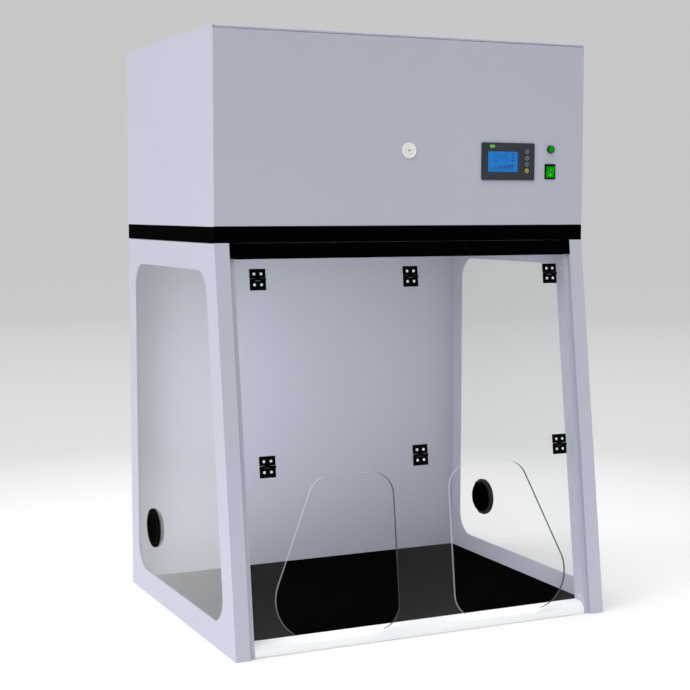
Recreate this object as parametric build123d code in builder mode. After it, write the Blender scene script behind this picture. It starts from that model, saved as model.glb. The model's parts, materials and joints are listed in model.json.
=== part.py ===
# Ductless laboratory enclosure: a clear-sided work chamber with a folding clear front,
# under a head that holds a pre-filter, a carbon filter and a fan.
# Millimetres. +Z is up, the front faces -Y, and the origin is on the bench, under the middle.
import os
from math import atan2, cos, degrees, radians, sin

from build123d import *

os.makedirs("parts", exist_ok=True)

# ---------------------------------------------------------------- driving dimensions
WIDTH = 800.0                 # over both side frames
HEAD_DEPTH = 535.0            # front to back, head and black band
FOOT_DEPTH = 634.0            # front to back at the bench
FRAME_H = 756.0               # side frames, bench to the band
BAND_H = 30.0                 # black band between the chamber and the head
HEAD_H = 365.0                # band to the top cover
SHEET = 2.0                   # folded steel sheet
WALL = 3.0                    # side frame wall, and the window set flush in it
RUN = 0.3                     # space between pieces that move past each other
FIT = 0.05                    # radial clearance of a pin or shaft in its bore

HALF_W = WIDTH / 2
Y_BACK = FOOT_DEPTH / 2
Y_HEAD = Y_BACK - HEAD_DEPTH
Y_FOOT = -FOOT_DEPTH / 2
BAND_TOP = FRAME_H + BAND_H
TOP = BAND_TOP + HEAD_H
SLOPE = atan2(Y_HEAD - Y_FOOT, FRAME_H)

# jamb folded on the front edge of each side frame, measured inward and back from its corner
JAMB_FACE = 29.0              # width of the front face
JAMB_W = 40.0                 # front face and the ledge behind the clear front
JAMB_STEP = 7.4               # how far the ledge lies behind the front face
JAMB_D = 40.0                 # depth of the whole fold
FLANGE = 24.0                 # inner flanges along the bottom and the back of a frame
BEND_R = 4.5                  # outer bend radius along the frame's top edge

# side window, and the cable port through it
WIN_REAR = 47.0               # from the back of the frame
WIN_FRONT = 55.0              # from the sloping front edge
WIN_LOW = 49.0
WIN_HIGH = 704.0
WIN_R = 50.0
PORT_Y = Y_BACK - 155.0
PORT_Z = 152.0
PORT_FLANGE_R = 41.0
PORT_TUBE_R = 33.0
PORT_BORE_R = 29.0
PORT_PROUD = 3.0

# chamber floor, back and sill
FLOOR_T = 10.0
BACK_PAN = 12.0               # depth of the folded back panel
SILL_FRONT = Y_FOOT + 8.5
SILL_REAR = Y_FOOT + 42.0
SILL_TOP = 22.5
SILL_R = 18.5

# clear front: distances down the slope from the bottom of the band
GLASS_T = 6.0
GLASS_FRONT = 1.0             # its front face lies this far behind the jamb's front face
GLASS_HALF_W = HALF_W - JAMB_FACE - 1.5
HEADER_DROP = 29.2
HEADER_LAP = 12.0             # the fixed strip reaches this far up between header skin and lip
UPPER_LINE = 68.0             # axis of the upper row of hinges
LOWER_LINE = 414.0            # axis of the lower row of hinges
GLASS_END = 757.0
GLASS_GAP = 1.5
HOLE_TOP = 438.5              # hand holes
HOLE_LOW = 738.5
HOLE_INNER = 60.5
HOLE_OUTER_TOP = 223.0
HOLE_OUTER_LOW = 355.0
HOLE_R = 47.0
HOLE_ELBOW_R = 75.0

# butt hinges of the clear front
HINGE_X = (-318.4, 0.0, 318.4)
HINGE_W = 32.0
HINGE_H = 40.0
LEAF_T = 1.5
BARREL_R = 2.2
BARREL_LIFT = 0.15            # between the barrel and the clear sheet under it
PIN_R = 1.1
SCREW_DX = 7.0
SCREW_DS = 10.0
SCREW_R = 1.6
SCREW_HEAD_R = 2.7
SCREW_HEAD_H = 1.1

# head, its front door and the door's piano hinge
DOOR_BACK = Y_HEAD + SHEET
SEAL_T = 3.7
CASE_FRONT = DOOR_BACK + SEAL_T + RUN
STIFF_D = 12.0                # depth of the rim that stiffens the door
DECK_FRONT = DOOR_BACK + STIFF_D + 1
RIM = 20.0                    # width of the casing's inner flanges
PIANO_R = 3.0
PIANO_PIN_R = 1.25
PIANO_Y = Y_HEAD + PIANO_R
PIANO_Z = TOP - PIANO_R
PIANO_LEAF = 22.0             # leaf under the cover
DOOR_LEAF = 12.0              # leaf behind the door
PIANO_KNUCKLES = 17
DOOR_TOP = PIANO_Z - PIANO_R - RUN
DOOR_LOW = BAND_TOP + 1.0
COVER_FRONT = PIANO_Y + PIANO_R + RUN

# controls on the door
PANEL_X, PANEL_Z = 222.5, 912.5
PANEL_W, PANEL_H, PANEL_PROUD = 122.5, 74.0, 3.0
LCD_X, LCD_Z, LCD_W, LCD_H = 209.5, 912.0, 71.0, 42.5
KEY_X, KEY_Z, KEY_PITCH, KEY_R, KEYS = 264.5, 913.5, 12.5, 4.8, 4
KEY_TRAVEL = 0.8
LAMP_X, LAMP_Z, LAMP_R = 322.0, 938.0, 7.8
ROCKER_X, ROCKER_Z, ROCKER_W, ROCKER_H = 321.5, 893.5, 25.0, 30.5
LOCK_Z = 931.0
LOCK_R = 15.5
LOCK_BODY_R = 9.5
PLUG_R = 6.0

# filters and fan
AIR_W, AIR_D = 680.0, 420.0   # air opening through the band
AIR_Y = 45.0
LIP = 12.0
FILTER_W, FILTER_D, FILTER_H = 710.0, 450.0, 100.0
DECK_TOP = 965.0
DECK_DROP = 15.0              # front flange of the deck, which the lock's cam hooks behind
FAN_Y = 55.0
INLET_R = 80.0
WHEEL_R = 110.0
WHEEL_LOW = DECK_TOP + 8.0
WHEEL_H = 72.0
HUB_R = 44.0
SHAFT_R = 6.0
BLADES = 7
VENT_R = 110.0                # round outlet in the top cover
GUARD_R = 131.0               # guard over the outlet

FRONT = Plane(origin=(0, Y_HEAD, FRAME_H), x_dir=(1, 0, 0), z_dir=(0, -cos(SLOPE), sin(SLOPE)))
LOW = (Align.CENTER, Align.CENTER, Align.MIN)


def front_y(z, depth=0.0):
    """y at height z on the plane that lies depth behind the sloping front."""
    return Y_FOOT + z * (Y_HEAD - Y_FOOT) / FRAME_H + depth / cos(SLOPE)


def facing(y):
    """Plane at y that faces forward, so a positive extrusion comes forward."""
    return Plane.XZ.offset(-y)


def hinge_axis(line):
    """Middle of a hinge axis, the given distance down the sloping front."""
    return FRONT.from_local_coords((0, -line, BARREL_R + BARREL_LIFT - GLASS_FRONT))


def window_face(grow=0.0):
    """Side window opening, drawn flat: its x is the object's y, and its y is the object's z."""
    with BuildSketch() as face:
        with BuildLine():
            Polyline(
                (Y_BACK - WIN_REAR, WIN_LOW),
                (Y_BACK - WIN_REAR, WIN_HIGH),
                (front_y(WIN_HIGH) + WIN_FRONT, WIN_HIGH),
                (front_y(WIN_LOW) + WIN_FRONT, WIN_LOW),
                close=True,
            )
        make_face()
        fillet(face.vertices(), WIN_R)
        if grow:
            offset(amount=grow, mode=Mode.REPLACE)
    return face.sketch


def screw_places(line, ends):
    """Screw positions of one hinge row on the front plane; ends is -1 below the axis, 1 above."""
    return [(x + dx, -line + end * SCREW_DS)
            for x in HINGE_X for dx in (-SCREW_DX, SCREW_DX) for end in ends]


def write(builder, name):
    builder.part.label = name
    export_step(builder.part, f"parts/{name}.step")


# ---------------------------------------------------------------- side frames
# wall, then the folds of the jamb: (outer x, inner x, nearest depth, furthest depth)
JAMB_FOLDS = (
    (HALF_W, HALF_W - JAMB_FACE, 0.0, SHEET),
    (HALF_W - JAMB_FACE + SHEET, HALF_W - JAMB_FACE, 0.0, JAMB_STEP + SHEET),
    (HALF_W - JAMB_FACE + SHEET, HALF_W - JAMB_W, JAMB_STEP, JAMB_STEP + SHEET),
    (HALF_W - JAMB_W + SHEET, HALF_W - JAMB_W, JAMB_STEP, JAMB_D),
)
JAMB_SCREW_DEPTH = 22.5
JAMB_SCREW_Z = (32.0, 696.5)

# countersunk screws that hold the back panel to the frames' rear flanges
BACK_SCREWS = [(side * (HALF_W - WALL - FLANGE / 2), z)
               for side in (-1, 1) for z in (60.0, 270.0, 480.0, 690.0)]
BACK_HEAD_R = 4.0
BACK_SHANK_R = 2.0

with BuildPart() as left_frame:
    with BuildSketch(Plane.YZ.offset(-HALF_W)):
        with BuildLine():
            Polyline(
                (Y_BACK, 0),
                (Y_FOOT, 0),
                (front_y(FRAME_H - BEND_R), FRAME_H - BEND_R),
                (Y_BACK, FRAME_H - BEND_R),
                close=True,
            )
        make_face()
        add(window_face(), mode=Mode.SUBTRACT)
    extrude(amount=WALL)
    for outer, inner, near, far in JAMB_FOLDS:
        with BuildSketch(Plane.YZ.offset(-outer)):
            with BuildLine():
                Polyline(
                    (front_y(0, near), 0),
                    (front_y(0, far), 0),
                    (front_y(FRAME_H, far), FRAME_H),
                    (front_y(FRAME_H, near), FRAME_H),
                    close=True,
                )
            make_face()
        extrude(amount=outer - inner)
    # top edge: a bend into a flange that the band stands on
    with BuildSketch(facing(Y_BACK)):
        with BuildLine():
            Polyline(
                (-HALF_W + JAMB_FACE, FRAME_H),
                (-HALF_W + BEND_R, FRAME_H),
                (-HALF_W + BEND_R, FRAME_H - WALL),
                (-HALF_W + JAMB_FACE, FRAME_H - WALL),
                close=True,
            )
        make_face()
        with Locations((-HALF_W + BEND_R, FRAME_H - BEND_R)):
            Circle(BEND_R)
            Circle(BEND_R - WALL, mode=Mode.SUBTRACT)
            Rectangle(BEND_R, 2 * BEND_R, align=(Align.MIN, Align.CENTER), mode=Mode.SUBTRACT)
            Rectangle(2 * BEND_R, BEND_R, align=(Align.CENTER, Align.MAX), mode=Mode.SUBTRACT)
        with Locations((-HALF_W + BEND_R, FRAME_H - WALL)):
            Rectangle(JAMB_FACE - BEND_R, WALL, align=(Align.MIN, Align.MIN))
    extrude(amount=HEAD_DEPTH + 1)
    # bottom flange under the floor and rear flange behind the back panel
    with Locations((-HALF_W + WALL, Y_BACK, 0)):
        Box(FLANGE, Y_BACK - front_y(0, JAMB_D), SHEET, align=(Align.MIN, Align.MAX, Align.MIN))
        Box(FLANGE, SHEET, FRAME_H - WALL, align=(Align.MIN, Align.MAX, Align.MIN))
    # trim everything to the sloping front plane
    with BuildSketch(FRONT):
        Rectangle(3 * WIDTH, 3 * FRAME_H)
    extrude(amount=BEND_R * 4, mode=Mode.SUBTRACT)
    # small screws through the jamb
    for z in JAMB_SCREW_Z:
        with Locations(Location((-HALF_W + JAMB_W, front_y(z, JAMB_SCREW_DEPTH), z), (0, 90, 0))):
            Cylinder(SCREW_R + FIT, 4 * SHEET, mode=Mode.SUBTRACT)
    for x, z in BACK_SCREWS:
        with Locations(Location((x, Y_BACK, z), (90, 0, 0))):
            Cylinder(BACK_HEAD_R + FIT, 2 * SHEET, mode=Mode.SUBTRACT)
write(left_frame, "left_frame")

with BuildPart() as right_frame:
    mirror(left_frame.part, about=Plane.YZ)
write(right_frame, "right_frame")

with BuildPart() as jamb_screws:
    for side in (-1, 1):
        for z in JAMB_SCREW_Z:
            x_face = side * (HALF_W - JAMB_W)
            y = front_y(z, JAMB_SCREW_DEPTH)
            with Locations(Location((x_face, y, z), (0, side * 90, 0))):
                Cylinder(SCREW_R, 3 * SHEET, align=LOW)
            with Locations(Location((x_face, y, z), (0, -side * 90, 0))):
                Cylinder(SCREW_HEAD_R, SCREW_HEAD_H, align=LOW)
write(jamb_screws, "jamb_screws")

# ---------------------------------------------------------------- windows and cable ports
with BuildPart() as left_window:
    with BuildSketch(Plane.YZ.offset(-HALF_W)):
        add(window_face(-FIT))
        with Locations((PORT_Y, PORT_Z)):
            Circle(PORT_TUBE_R + 2 * FIT, mode=Mode.SUBTRACT)
    extrude(amount=WALL)
write(left_window, "left_window")

with BuildPart() as right_window:
    mirror(left_window.part, about=Plane.YZ)
write(right_window, "right_window")

PORT_NUT_T = 2.5
PORT_TUBE_END = WALL + 9.0
CAP_T = 2.5
CAP_DEPTH = 10.0
GRIP_W = 8.0

with BuildPart() as port_bodies:
    for side in (-1, 1):
        # flange on the window's outer face, tube through it
        with BuildSketch(Plane.YZ.offset(side * HALF_W)):
            with Locations((PORT_Y, PORT_Z)):
                Circle(PORT_FLANGE_R)
                Circle(PORT_BORE_R, mode=Mode.SUBTRACT)
        extrude(amount=side * PORT_PROUD, taper=20)
        with BuildSketch(Plane.YZ.offset(side * HALF_W)):
            with Locations((PORT_Y, PORT_Z)):
                Circle(PORT_TUBE_R)
        extrude(amount=-side * PORT_TUBE_END)
    with Locations(Location((0, PORT_Y, PORT_Z), (0, 90, 0))):
        Cylinder(PORT_BORE_R, 2 * (HALF_W + PORT_PROUD) + 2, mode=Mode.SUBTRACT)
write(port_bodies, "port_bodies")

with BuildPart() as port_nuts:
    for side in (-1, 1):
        with BuildSketch(Plane.YZ.offset(side * (HALF_W - WALL))):
            with Locations((PORT_Y, PORT_Z)):
                Circle(PORT_FLANGE_R)
                Circle(PORT_TUBE_R + FIT, mode=Mode.SUBTRACT)
                with PolarLocations(PORT_FLANGE_R + 1.5, 12):
                    Circle(4, mode=Mode.SUBTRACT)
        extrude(amount=-side * PORT_NUT_T)
write(port_nuts, "port_nuts")

with BuildPart() as left_port_cap:
    face_x = -HALF_W - PORT_PROUD + 1.0
    with BuildSketch(Plane.YZ.offset(face_x)):
        with Locations((PORT_Y, PORT_Z)):
            Circle(PORT_BORE_R - RUN)
    extrude(amount=CAP_DEPTH)
    with BuildSketch(Plane.YZ.offset(face_x + CAP_T)):
        with Locations((PORT_Y, PORT_Z)):
            Circle(PORT_BORE_R - RUN - CAP_T)
    extrude(amount=CAP_DEPTH, mode=Mode.SUBTRACT)
    # grip bar left standing between two finger hollows
    with BuildSketch(Plane.YZ.offset(face_x)):
        with Locations((PORT_Y, PORT_Z)):
            Circle(PORT_BORE_R - 6)
            Rectangle(2 * PORT_BORE_R, GRIP_W, mode=Mode.SUBTRACT)
    extrude(amount=CAP_T / 2, mode=Mode.SUBTRACT)
write(left_port_cap, "left_port_cap")

with BuildPart() as right_port_cap:
    mirror(left_port_cap.part, about=Plane.YZ)
write(right_port_cap, "right_port_cap")

# ---------------------------------------------------------------- back, floor, sill
BACK_HALF_W = HALF_W - WALL
BACK_H = FRAME_H - BEND_R - SHEET
with BuildPart() as back_panel:
    # shallow pan, its edges folded back and then in
    with Locations((0, Y_BACK - SHEET, SHEET)):
        Box(2 * BACK_HALF_W, BACK_PAN - SHEET, BACK_H, align=(Align.CENTER, Align.MAX, Align.MIN))
    with Locations((0, Y_BACK - 2 * SHEET, 2 * SHEET)):
        Box(2 * (BACK_HALF_W - SHEET), BACK_PAN - 3 * SHEET, BACK_H - 2 * SHEET,
            align=(Align.CENTER, Align.MAX, Align.MIN), mode=Mode.SUBTRACT)
    with Locations((0, Y_BACK, SHEET + FLANGE)):
        Box(2 * (BACK_HALF_W - FLANGE), BACK_PAN - SHEET, BACK_H - 2 * FLANGE,
            align=(Align.CENTER, Align.MAX, Align.MIN), mode=Mode.SUBTRACT)
    for x, z in BACK_SCREWS:
        with Locations(Location((x, Y_BACK, z), (90, 0, 0))):
            Cylinder(BACK_SHANK_R + FIT, 3 * SHEET, align=LOW, mode=Mode.SUBTRACT)
write(back_panel, "back_panel")

with BuildPart() as back_screws:
    for x, z in BACK_SCREWS:
        with Locations(Location((x, Y_BACK - 0.2, z), (90, 0, 0))):
            Cylinder(BACK_HEAD_R, SHEET - 0.2, align=LOW)
            Cylinder(BACK_SHANK_R, 3 * SHEET, align=LOW)
write(back_screws, "back_screws")

with BuildPart() as floor_board:
    with Locations((0, SILL_REAR, SHEET)):
        Box(2 * BACK_HALF_W, Y_BACK - BACK_PAN - SILL_REAR, FLOOR_T,
            align=(Align.CENTER, Align.MIN, Align.MIN))
write(floor_board, "floor_board")

with BuildPart() as sill:
    with BuildSketch(Plane.YZ.offset(-HALF_W + JAMB_W)):
        with BuildLine():
            Polyline(
                (SILL_FRONT, 0),
                (SILL_REAR, 0),
                (SILL_REAR, SILL_TOP),
                (SILL_FRONT + SILL_R, SILL_TOP),
            )
            RadiusArc((SILL_FRONT + SILL_R, SILL_TOP), (SILL_FRONT, SILL_TOP - SILL_R), -SILL_R)
            Line((SILL_FRONT, SILL_TOP - SILL_R), (SILL_FRONT, 0))
        make_face()
    extrude(amount=WIDTH - 2 * JAMB_W)
write(sill, "sill")

# ---------------------------------------------------------------- band and header
with BuildPart() as base_band:
    with Locations((0, Y_BACK, FRAME_H)):
        Box(WIDTH, HEAD_DEPTH, BAND_H, align=(Align.CENTER, Align.MAX, Align.MIN))
    with Locations((0, AIR_Y, FRAME_H)):
        Box(AIR_W - 2 * LIP, AIR_D - 2 * LIP, BAND_H, align=LOW, mode=Mode.SUBTRACT)
    with Locations((0, AIR_Y, FRAME_H + SHEET * 2)):
        Box(AIR_W, AIR_D, BAND_H, align=LOW, mode=Mode.SUBTRACT)
write(base_band, "base_band")

with BuildPart() as header_bar:
    # bar in the recess between the jamb faces
    with BuildSketch(FRONT):
        Rectangle(WIDTH - 2 * JAMB_FACE, HEADER_DROP - HEADER_LAP,
                  align=(Align.CENTER, Align.MAX))
    extrude(amount=-JAMB_STEP)
    # skin in front of the clear front's fixed strip
    with BuildSketch(FRONT):
        Rectangle(WIDTH - 2 * JAMB_FACE, HEADER_DROP, align=(Align.CENTER, Align.MAX))
    extrude(amount=-GLASS_FRONT)
    # lip behind the fixed strip, which is bonded to it
    with BuildSketch(FRONT.offset(-JAMB_STEP)):
        Rectangle(WIDTH - 2 * JAMB_W, HEADER_DROP, align=(Align.CENTER, Align.MAX))
    extrude(amount=-SHEET * 2)
    # cut level under the band
    with Locations((0, 0, FRAME_H)):
        Box(2 * WIDTH, 2 * WIDTH, BAND_H, align=LOW, mode=Mode.SUBTRACT)
write(header_bar, "header_bar")

# ---------------------------------------------------------------- clear front
GLASS_BACK = FRONT.offset(-GLASS_FRONT - GLASS_T)


def glass_sheet(top, low, drilled):
    """Clear sheet between two distances down the slope, with its screw holes."""
    with BuildPart() as glass:
        with BuildSketch(GLASS_BACK):
            with Locations((0, -(top + low) / 2)):
                Rectangle(2 * GLASS_HALF_W, low - top)
            with Locations(*drilled):
                Circle(SCREW_R + FIT, mode=Mode.SUBTRACT)
        extrude(amount=GLASS_T)
    return glass


STRIP_SCREWS = screw_places(UPPER_LINE, (1,))
UPPER_FLAP_SCREWS = screw_places(UPPER_LINE, (-1,)) + screw_places(LOWER_LINE, (1,))
LOWER_FLAP_SCREWS = screw_places(LOWER_LINE, (-1,))

top_strip = glass_sheet(HEADER_DROP - HEADER_LAP, UPPER_LINE - GLASS_GAP / 2, STRIP_SCREWS)
write(top_strip, "top_strip")

upper_flap = glass_sheet(UPPER_LINE + GLASS_GAP / 2, LOWER_LINE - GLASS_GAP / 2,
                         UPPER_FLAP_SCREWS)
write(upper_flap, "upper_flap")

with BuildPart() as lower_flap:
    add(glass_sheet(LOWER_LINE + GLASS_GAP / 2, GLASS_END, LOWER_FLAP_SCREWS).part)
    with BuildSketch(GLASS_BACK) as hand_hole:
        with BuildLine():
            Polyline(
                (HOLE_INNER, -HOLE_TOP),
                (HOLE_OUTER_TOP, -HOLE_TOP),
                (HOLE_OUTER_LOW, -HOLE_LOW),
                (HOLE_INNER, -HOLE_LOW),
                close=True,
            )
        make_face()
        elbow = hand_hole.vertices().sort_by(Axis.X)[-1]
        fillet(elbow, HOLE_ELBOW_R)
        corners = hand_hole.vertices().group_by(Axis.X)[0]
        corners += hand_hole.vertices().group_by(Axis.Y)[-1].sort_by(Axis.X)[-1:]
        fillet(corners, HOLE_R)
        mirror(about=Plane.YZ)
    extrude(amount=GLASS_T, mode=Mode.SUBTRACT)
write(lower_flap, "lower_flap")

# ---------------------------------------------------------------- hinges of the clear front
KNUCKLE_W = HINGE_W / 3 - RUN
LEAF_FACE = FRONT.offset(-GLASS_FRONT)


def hinge_leaves(line, end, knuckles):
    """Leaves of one row of hinges. end is 1 for those above the axis and -1 below."""
    axis = hinge_axis(line)
    edge = Align.MIN if end > 0 else Align.MAX
    with BuildPart() as leaves:
        with BuildSketch(LEAF_FACE):
            for x in HINGE_X:
                with Locations((x, -line + end * (BARREL_R + RUN))):
                    Rectangle(HINGE_W, HINGE_H / 2 - BARREL_R - RUN, align=(Align.CENTER, edge))
                for knuckle in knuckles:
                    with Locations((x + knuckle * HINGE_W / 3, -line)):
                        Rectangle(KNUCKLE_W, BARREL_R + 2 * RUN, align=(Align.CENTER, edge))
        extrude(amount=LEAF_T)
        for x in HINGE_X:
            for knuckle in knuckles:
                place = (x + knuckle * HINGE_W / 3, axis.Y, axis.Z)
                with Locations(Location(place, (0, 90, 0))):
                    Cylinder(BARREL_R, KNUCKLE_W)
        with Locations(Location((0, axis.Y, axis.Z), (0, 90, 0))):
            Cylinder(PIN_R + FIT, WIDTH, mode=Mode.SUBTRACT)
        with BuildSketch(LEAF_FACE):
            with Locations(*screw_places(line, (end,))):
                Circle(SCREW_R + FIT)
        extrude(amount=LEAF_T, mode=Mode.SUBTRACT)
    return leaves


def hinge_screws(places):
    """Pan-headed screws standing on the leaves."""
    with BuildPart() as screws:
        with BuildSketch(LEAF_FACE.offset(LEAF_T)):
            with Locations(*places):
                Circle(SCREW_R)
        extrude(amount=-(LEAF_T + GLASS_T - 1))
        with BuildSketch(LEAF_FACE.offset(LEAF_T)):
            with Locations(*places):
                Circle(SCREW_HEAD_R)
        extrude(amount=SCREW_HEAD_H, taper=25)
    return screws


def hinge_pins(line):
    """Pins of one row of hinges."""
    axis = hinge_axis(line)
    with BuildPart() as pins:
        for x in HINGE_X:
            with Locations(Location((x, axis.Y, axis.Z), (0, 90, 0))):
                Cylinder(PIN_R, HINGE_W)
    return pins


OUTER_KNUCKLES = (-1, 1)
MIDDLE_KNUCKLE = (0,)
write(hinge_leaves(UPPER_LINE, 1, MIDDLE_KNUCKLE), "strip_leaves")
write(hinge_screws(STRIP_SCREWS), "strip_screws")
write(hinge_pins(UPPER_LINE), "upper_hinge_pins")
write(hinge_leaves(UPPER_LINE, -1, OUTER_KNUCKLES), "upper_flap_top_leaves")
write(hinge_leaves(LOWER_LINE, 1, MIDDLE_KNUCKLE), "upper_flap_low_leaves")
write(hinge_screws(UPPER_FLAP_SCREWS), "upper_flap_screws")
write(hinge_pins(LOWER_LINE), "lower_hinge_pins")
write(hinge_leaves(LOWER_LINE, -1, OUTER_KNUCKLES), "lower_flap_leaves")
write(hinge_screws(LOWER_FLAP_SCREWS), "lower_flap_screws")

# ---------------------------------------------------------------- head casing and cover
CASE_D = Y_BACK - DOOR_BACK - RUN
INNER_HALF_W = HALF_W - SHEET
CASE_TOP = TOP - SHEET
LEAF_LOW = CASE_TOP - LEAF_T   # underside of the leaf fixed below the cover
TOP_RIM = RIM + 10             # front flange above the filter opening
INLET_X, INLET_Z, INLET_W, INLET_H = -300.0, 1060.0, 48.0, 28.0
VENT_SCREW_R = (VENT_R + GUARD_R) / 2 + 1.5

with BuildPart() as head_casing:
    # three walls with inner flanges all round
    with Locations((0, Y_BACK, BAND_TOP)):
        Box(WIDTH, CASE_D, CASE_TOP - BAND_TOP, align=(Align.CENTER, Align.MAX, Align.MIN))
        Box(WIDTH - 2 * RIM, CASE_D, CASE_TOP - BAND_TOP,
            align=(Align.CENTER, Align.MAX, Align.MIN), mode=Mode.SUBTRACT)
    with BuildSketch(Plane.XY.offset(BAND_TOP + SHEET)):
        with Locations((0, Y_BACK - SHEET)):
            Rectangle(2 * INNER_HALF_W, Y_BACK - SHEET - CASE_FRONT - SHEET,
                      align=(Align.CENTER, Align.MAX))
    extrude(amount=CASE_TOP - BAND_TOP - 2 * SHEET, mode=Mode.SUBTRACT)
    # room for the door's seal in front of the front flange
    with Locations((0, CASE_FRONT, BAND_TOP)):
        Box(2 * INNER_HALF_W, 2 * SEAL_T, HEAD_H, align=(Align.CENTER, Align.MAX, Align.MIN),
            mode=Mode.SUBTRACT)
    # rear wall with its top and bottom flanges
    with Locations((0, Y_BACK, BAND_TOP)):
        Box(WIDTH, SHEET, CASE_TOP - BAND_TOP, align=(Align.CENTER, Align.MAX, Align.MIN))
        Box(WIDTH, RIM, SHEET, align=(Align.CENTER, Align.MAX, Align.MIN))
    with Locations((0, Y_BACK, CASE_TOP)):
        Box(WIDTH, RIM, SHEET, align=(Align.CENTER, Align.MAX, Align.MAX))
    # front flanges above and below the filter opening
    with Locations((0, CASE_FRONT, BAND_TOP)):
        Box(2 * INNER_HALF_W, SHEET, RIM, align=(Align.CENTER, Align.MIN, Align.MIN))
        Box(2 * INNER_HALF_W, RIM, SHEET, align=(Align.CENTER, Align.MIN, Align.MIN))
    # the top flanges stop short of the hinge leaf, and the inlet looks out at the back
    with Locations((0, COVER_FRONT, CASE_TOP)):
        Box(2 * INNER_HALF_W, PIANO_LEAF + 1, SHEET, align=(Align.CENTER, Align.MIN, Align.MAX),
            mode=Mode.SUBTRACT)
    with Locations((0, CASE_FRONT, LEAF_LOW)):
        Box(2 * INNER_HALF_W, SHEET, TOP_RIM, align=(Align.CENTER, Align.MIN, Align.MAX))
    with Locations((INLET_X, Y_BACK, INLET_Z)):
        Box(INLET_W - 20, 4 * SHEET, INLET_H - 8, mode=Mode.SUBTRACT)
write(head_casing, "head_casing")

with BuildPart() as head_top:
    with BuildSketch(Plane.XY.offset(CASE_TOP)):
        with Locations((0, (COVER_FRONT + Y_BACK) / 2)):
            Rectangle(WIDTH, Y_BACK - COVER_FRONT)
        with Locations((0, FAN_Y)):
            Circle(VENT_R, mode=Mode.SUBTRACT)
    extrude(amount=SHEET)
    fillet(head_top.edges().filter_by(Axis.Y).group_by(Axis.Z)[-1], 1.5)
write(head_top, "head_top")

GUARD_RINGS = 7
GUARD_SPOKES = 8
GUARD_WIRE = 2.8
with BuildPart() as exhaust_guard:
    with BuildSketch(Plane.XY.offset(TOP)):
        with Locations((0, FAN_Y)):
            Circle(GUARD_R)
            Circle(VENT_R, mode=Mode.SUBTRACT)
            for ring in range(GUARD_RINGS - 1, 0, -1):
                radius = VENT_R * ring / GUARD_RINGS
                Circle(radius + GUARD_WIRE / 2)
                Circle(radius - GUARD_WIRE / 2, mode=Mode.SUBTRACT)
            with PolarLocations(0, GUARD_SPOKES):
                Rectangle(VENT_R + 2, GUARD_WIRE, align=(Align.MIN, Align.CENTER))
    extrude(amount=SHEET)
write(exhaust_guard, "exhaust_guard")

COVER_SCREWS = [(side * (HALF_W - 11), y) for side in (-1, 1) for y in (-150.0, 0.0, 150.0, 300.0)]
COVER_HEAD_R, COVER_HEAD_H = 4.0, 1.8
with BuildPart() as cover_screws:
    with BuildSketch(Plane.XY.offset(TOP)):
        with Locations(*COVER_SCREWS):
            Circle(COVER_HEAD_R)
    extrude(amount=COVER_HEAD_H, taper=10)
    with BuildSketch(Plane.XY.offset(TOP + SHEET)):
        with Locations((0, FAN_Y)):
            with PolarLocations(VENT_SCREW_R, 4, start_angle=45):
                Circle(COVER_HEAD_R)
    extrude(amount=COVER_HEAD_H, taper=10)
write(cover_screws, "cover_screws")

# ---------------------------------------------------------------- head: door and piano hinge
PIANO_PITCH = 2 * (HALF_W - 3) / PIANO_KNUCKLES


def piano_leaf(moving):
    """One leaf of the piano hinge, the door's when moving and the cover's when not."""
    knuckles = range(0 if moving else 1, PIANO_KNUCKLES, 2)
    with BuildPart() as leaf:
        for knuckle in knuckles:
            x = -HALF_W + 3 + PIANO_PITCH * (knuckle + 0.5)
            with Locations(Location((x, PIANO_Y, PIANO_Z), (0, 90, 0))):
                Cylinder(PIANO_R, PIANO_PITCH - RUN)
            with Locations((x, PIANO_Y, PIANO_Z)):
                if moving:
                    Box(PIANO_PITCH - RUN, 2 * (PIANO_Y - DOOR_BACK), PIANO_R + 2,
                        align=(Align.CENTER, Align.CENTER, Align.MAX))
                else:
                    Box(PIANO_PITCH - RUN, PIANO_R + 2, 2 * (PIANO_Z - LEAF_LOW),
                        align=(Align.CENTER, Align.MIN, Align.CENTER))
        if moving:
            with Locations((0, DOOR_BACK, DOOR_TOP)):
                Box(2 * (HALF_W - 3), LEAF_T, DOOR_LEAF,
                    align=(Align.CENTER, Align.MIN, Align.MAX))
        else:
            with Locations((0, COVER_FRONT, LEAF_LOW)):
                Box(2 * (HALF_W - 3), PIANO_LEAF, LEAF_T,
                    align=(Align.CENTER, Align.MIN, Align.MIN))
        with Locations(Location((0, PIANO_Y, PIANO_Z), (0, 90, 0))):
            Cylinder(PIANO_PIN_R + FIT, WIDTH, mode=Mode.SUBTRACT)
    return leaf


write(piano_leaf(False), "door_hinge_fixed_leaf")
write(piano_leaf(True), "door_hinge_moving_leaf")

with BuildPart() as door_hinge_pin:
    with Locations(Location((0, PIANO_Y, PIANO_Z), (0, 90, 0))):
        Cylinder(PIANO_PIN_R, 2 * (HALF_W - 3))
write(door_hinge_pin, "door_hinge_pin")

STIFF_HALF_W = HALF_W - SHEET - RIM - 6
STIFF_LOW = BAND_TOP + RIM + 6
STIFF_HIGH = LEAF_LOW - TOP_RIM - 6
BODY_W, BODY_H, BODY_D = PANEL_W - 12, PANEL_H - 12, 26.0
ROCKER_CUT_W, ROCKER_CUT_H = ROCKER_W - 4, ROCKER_H - 3

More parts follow.
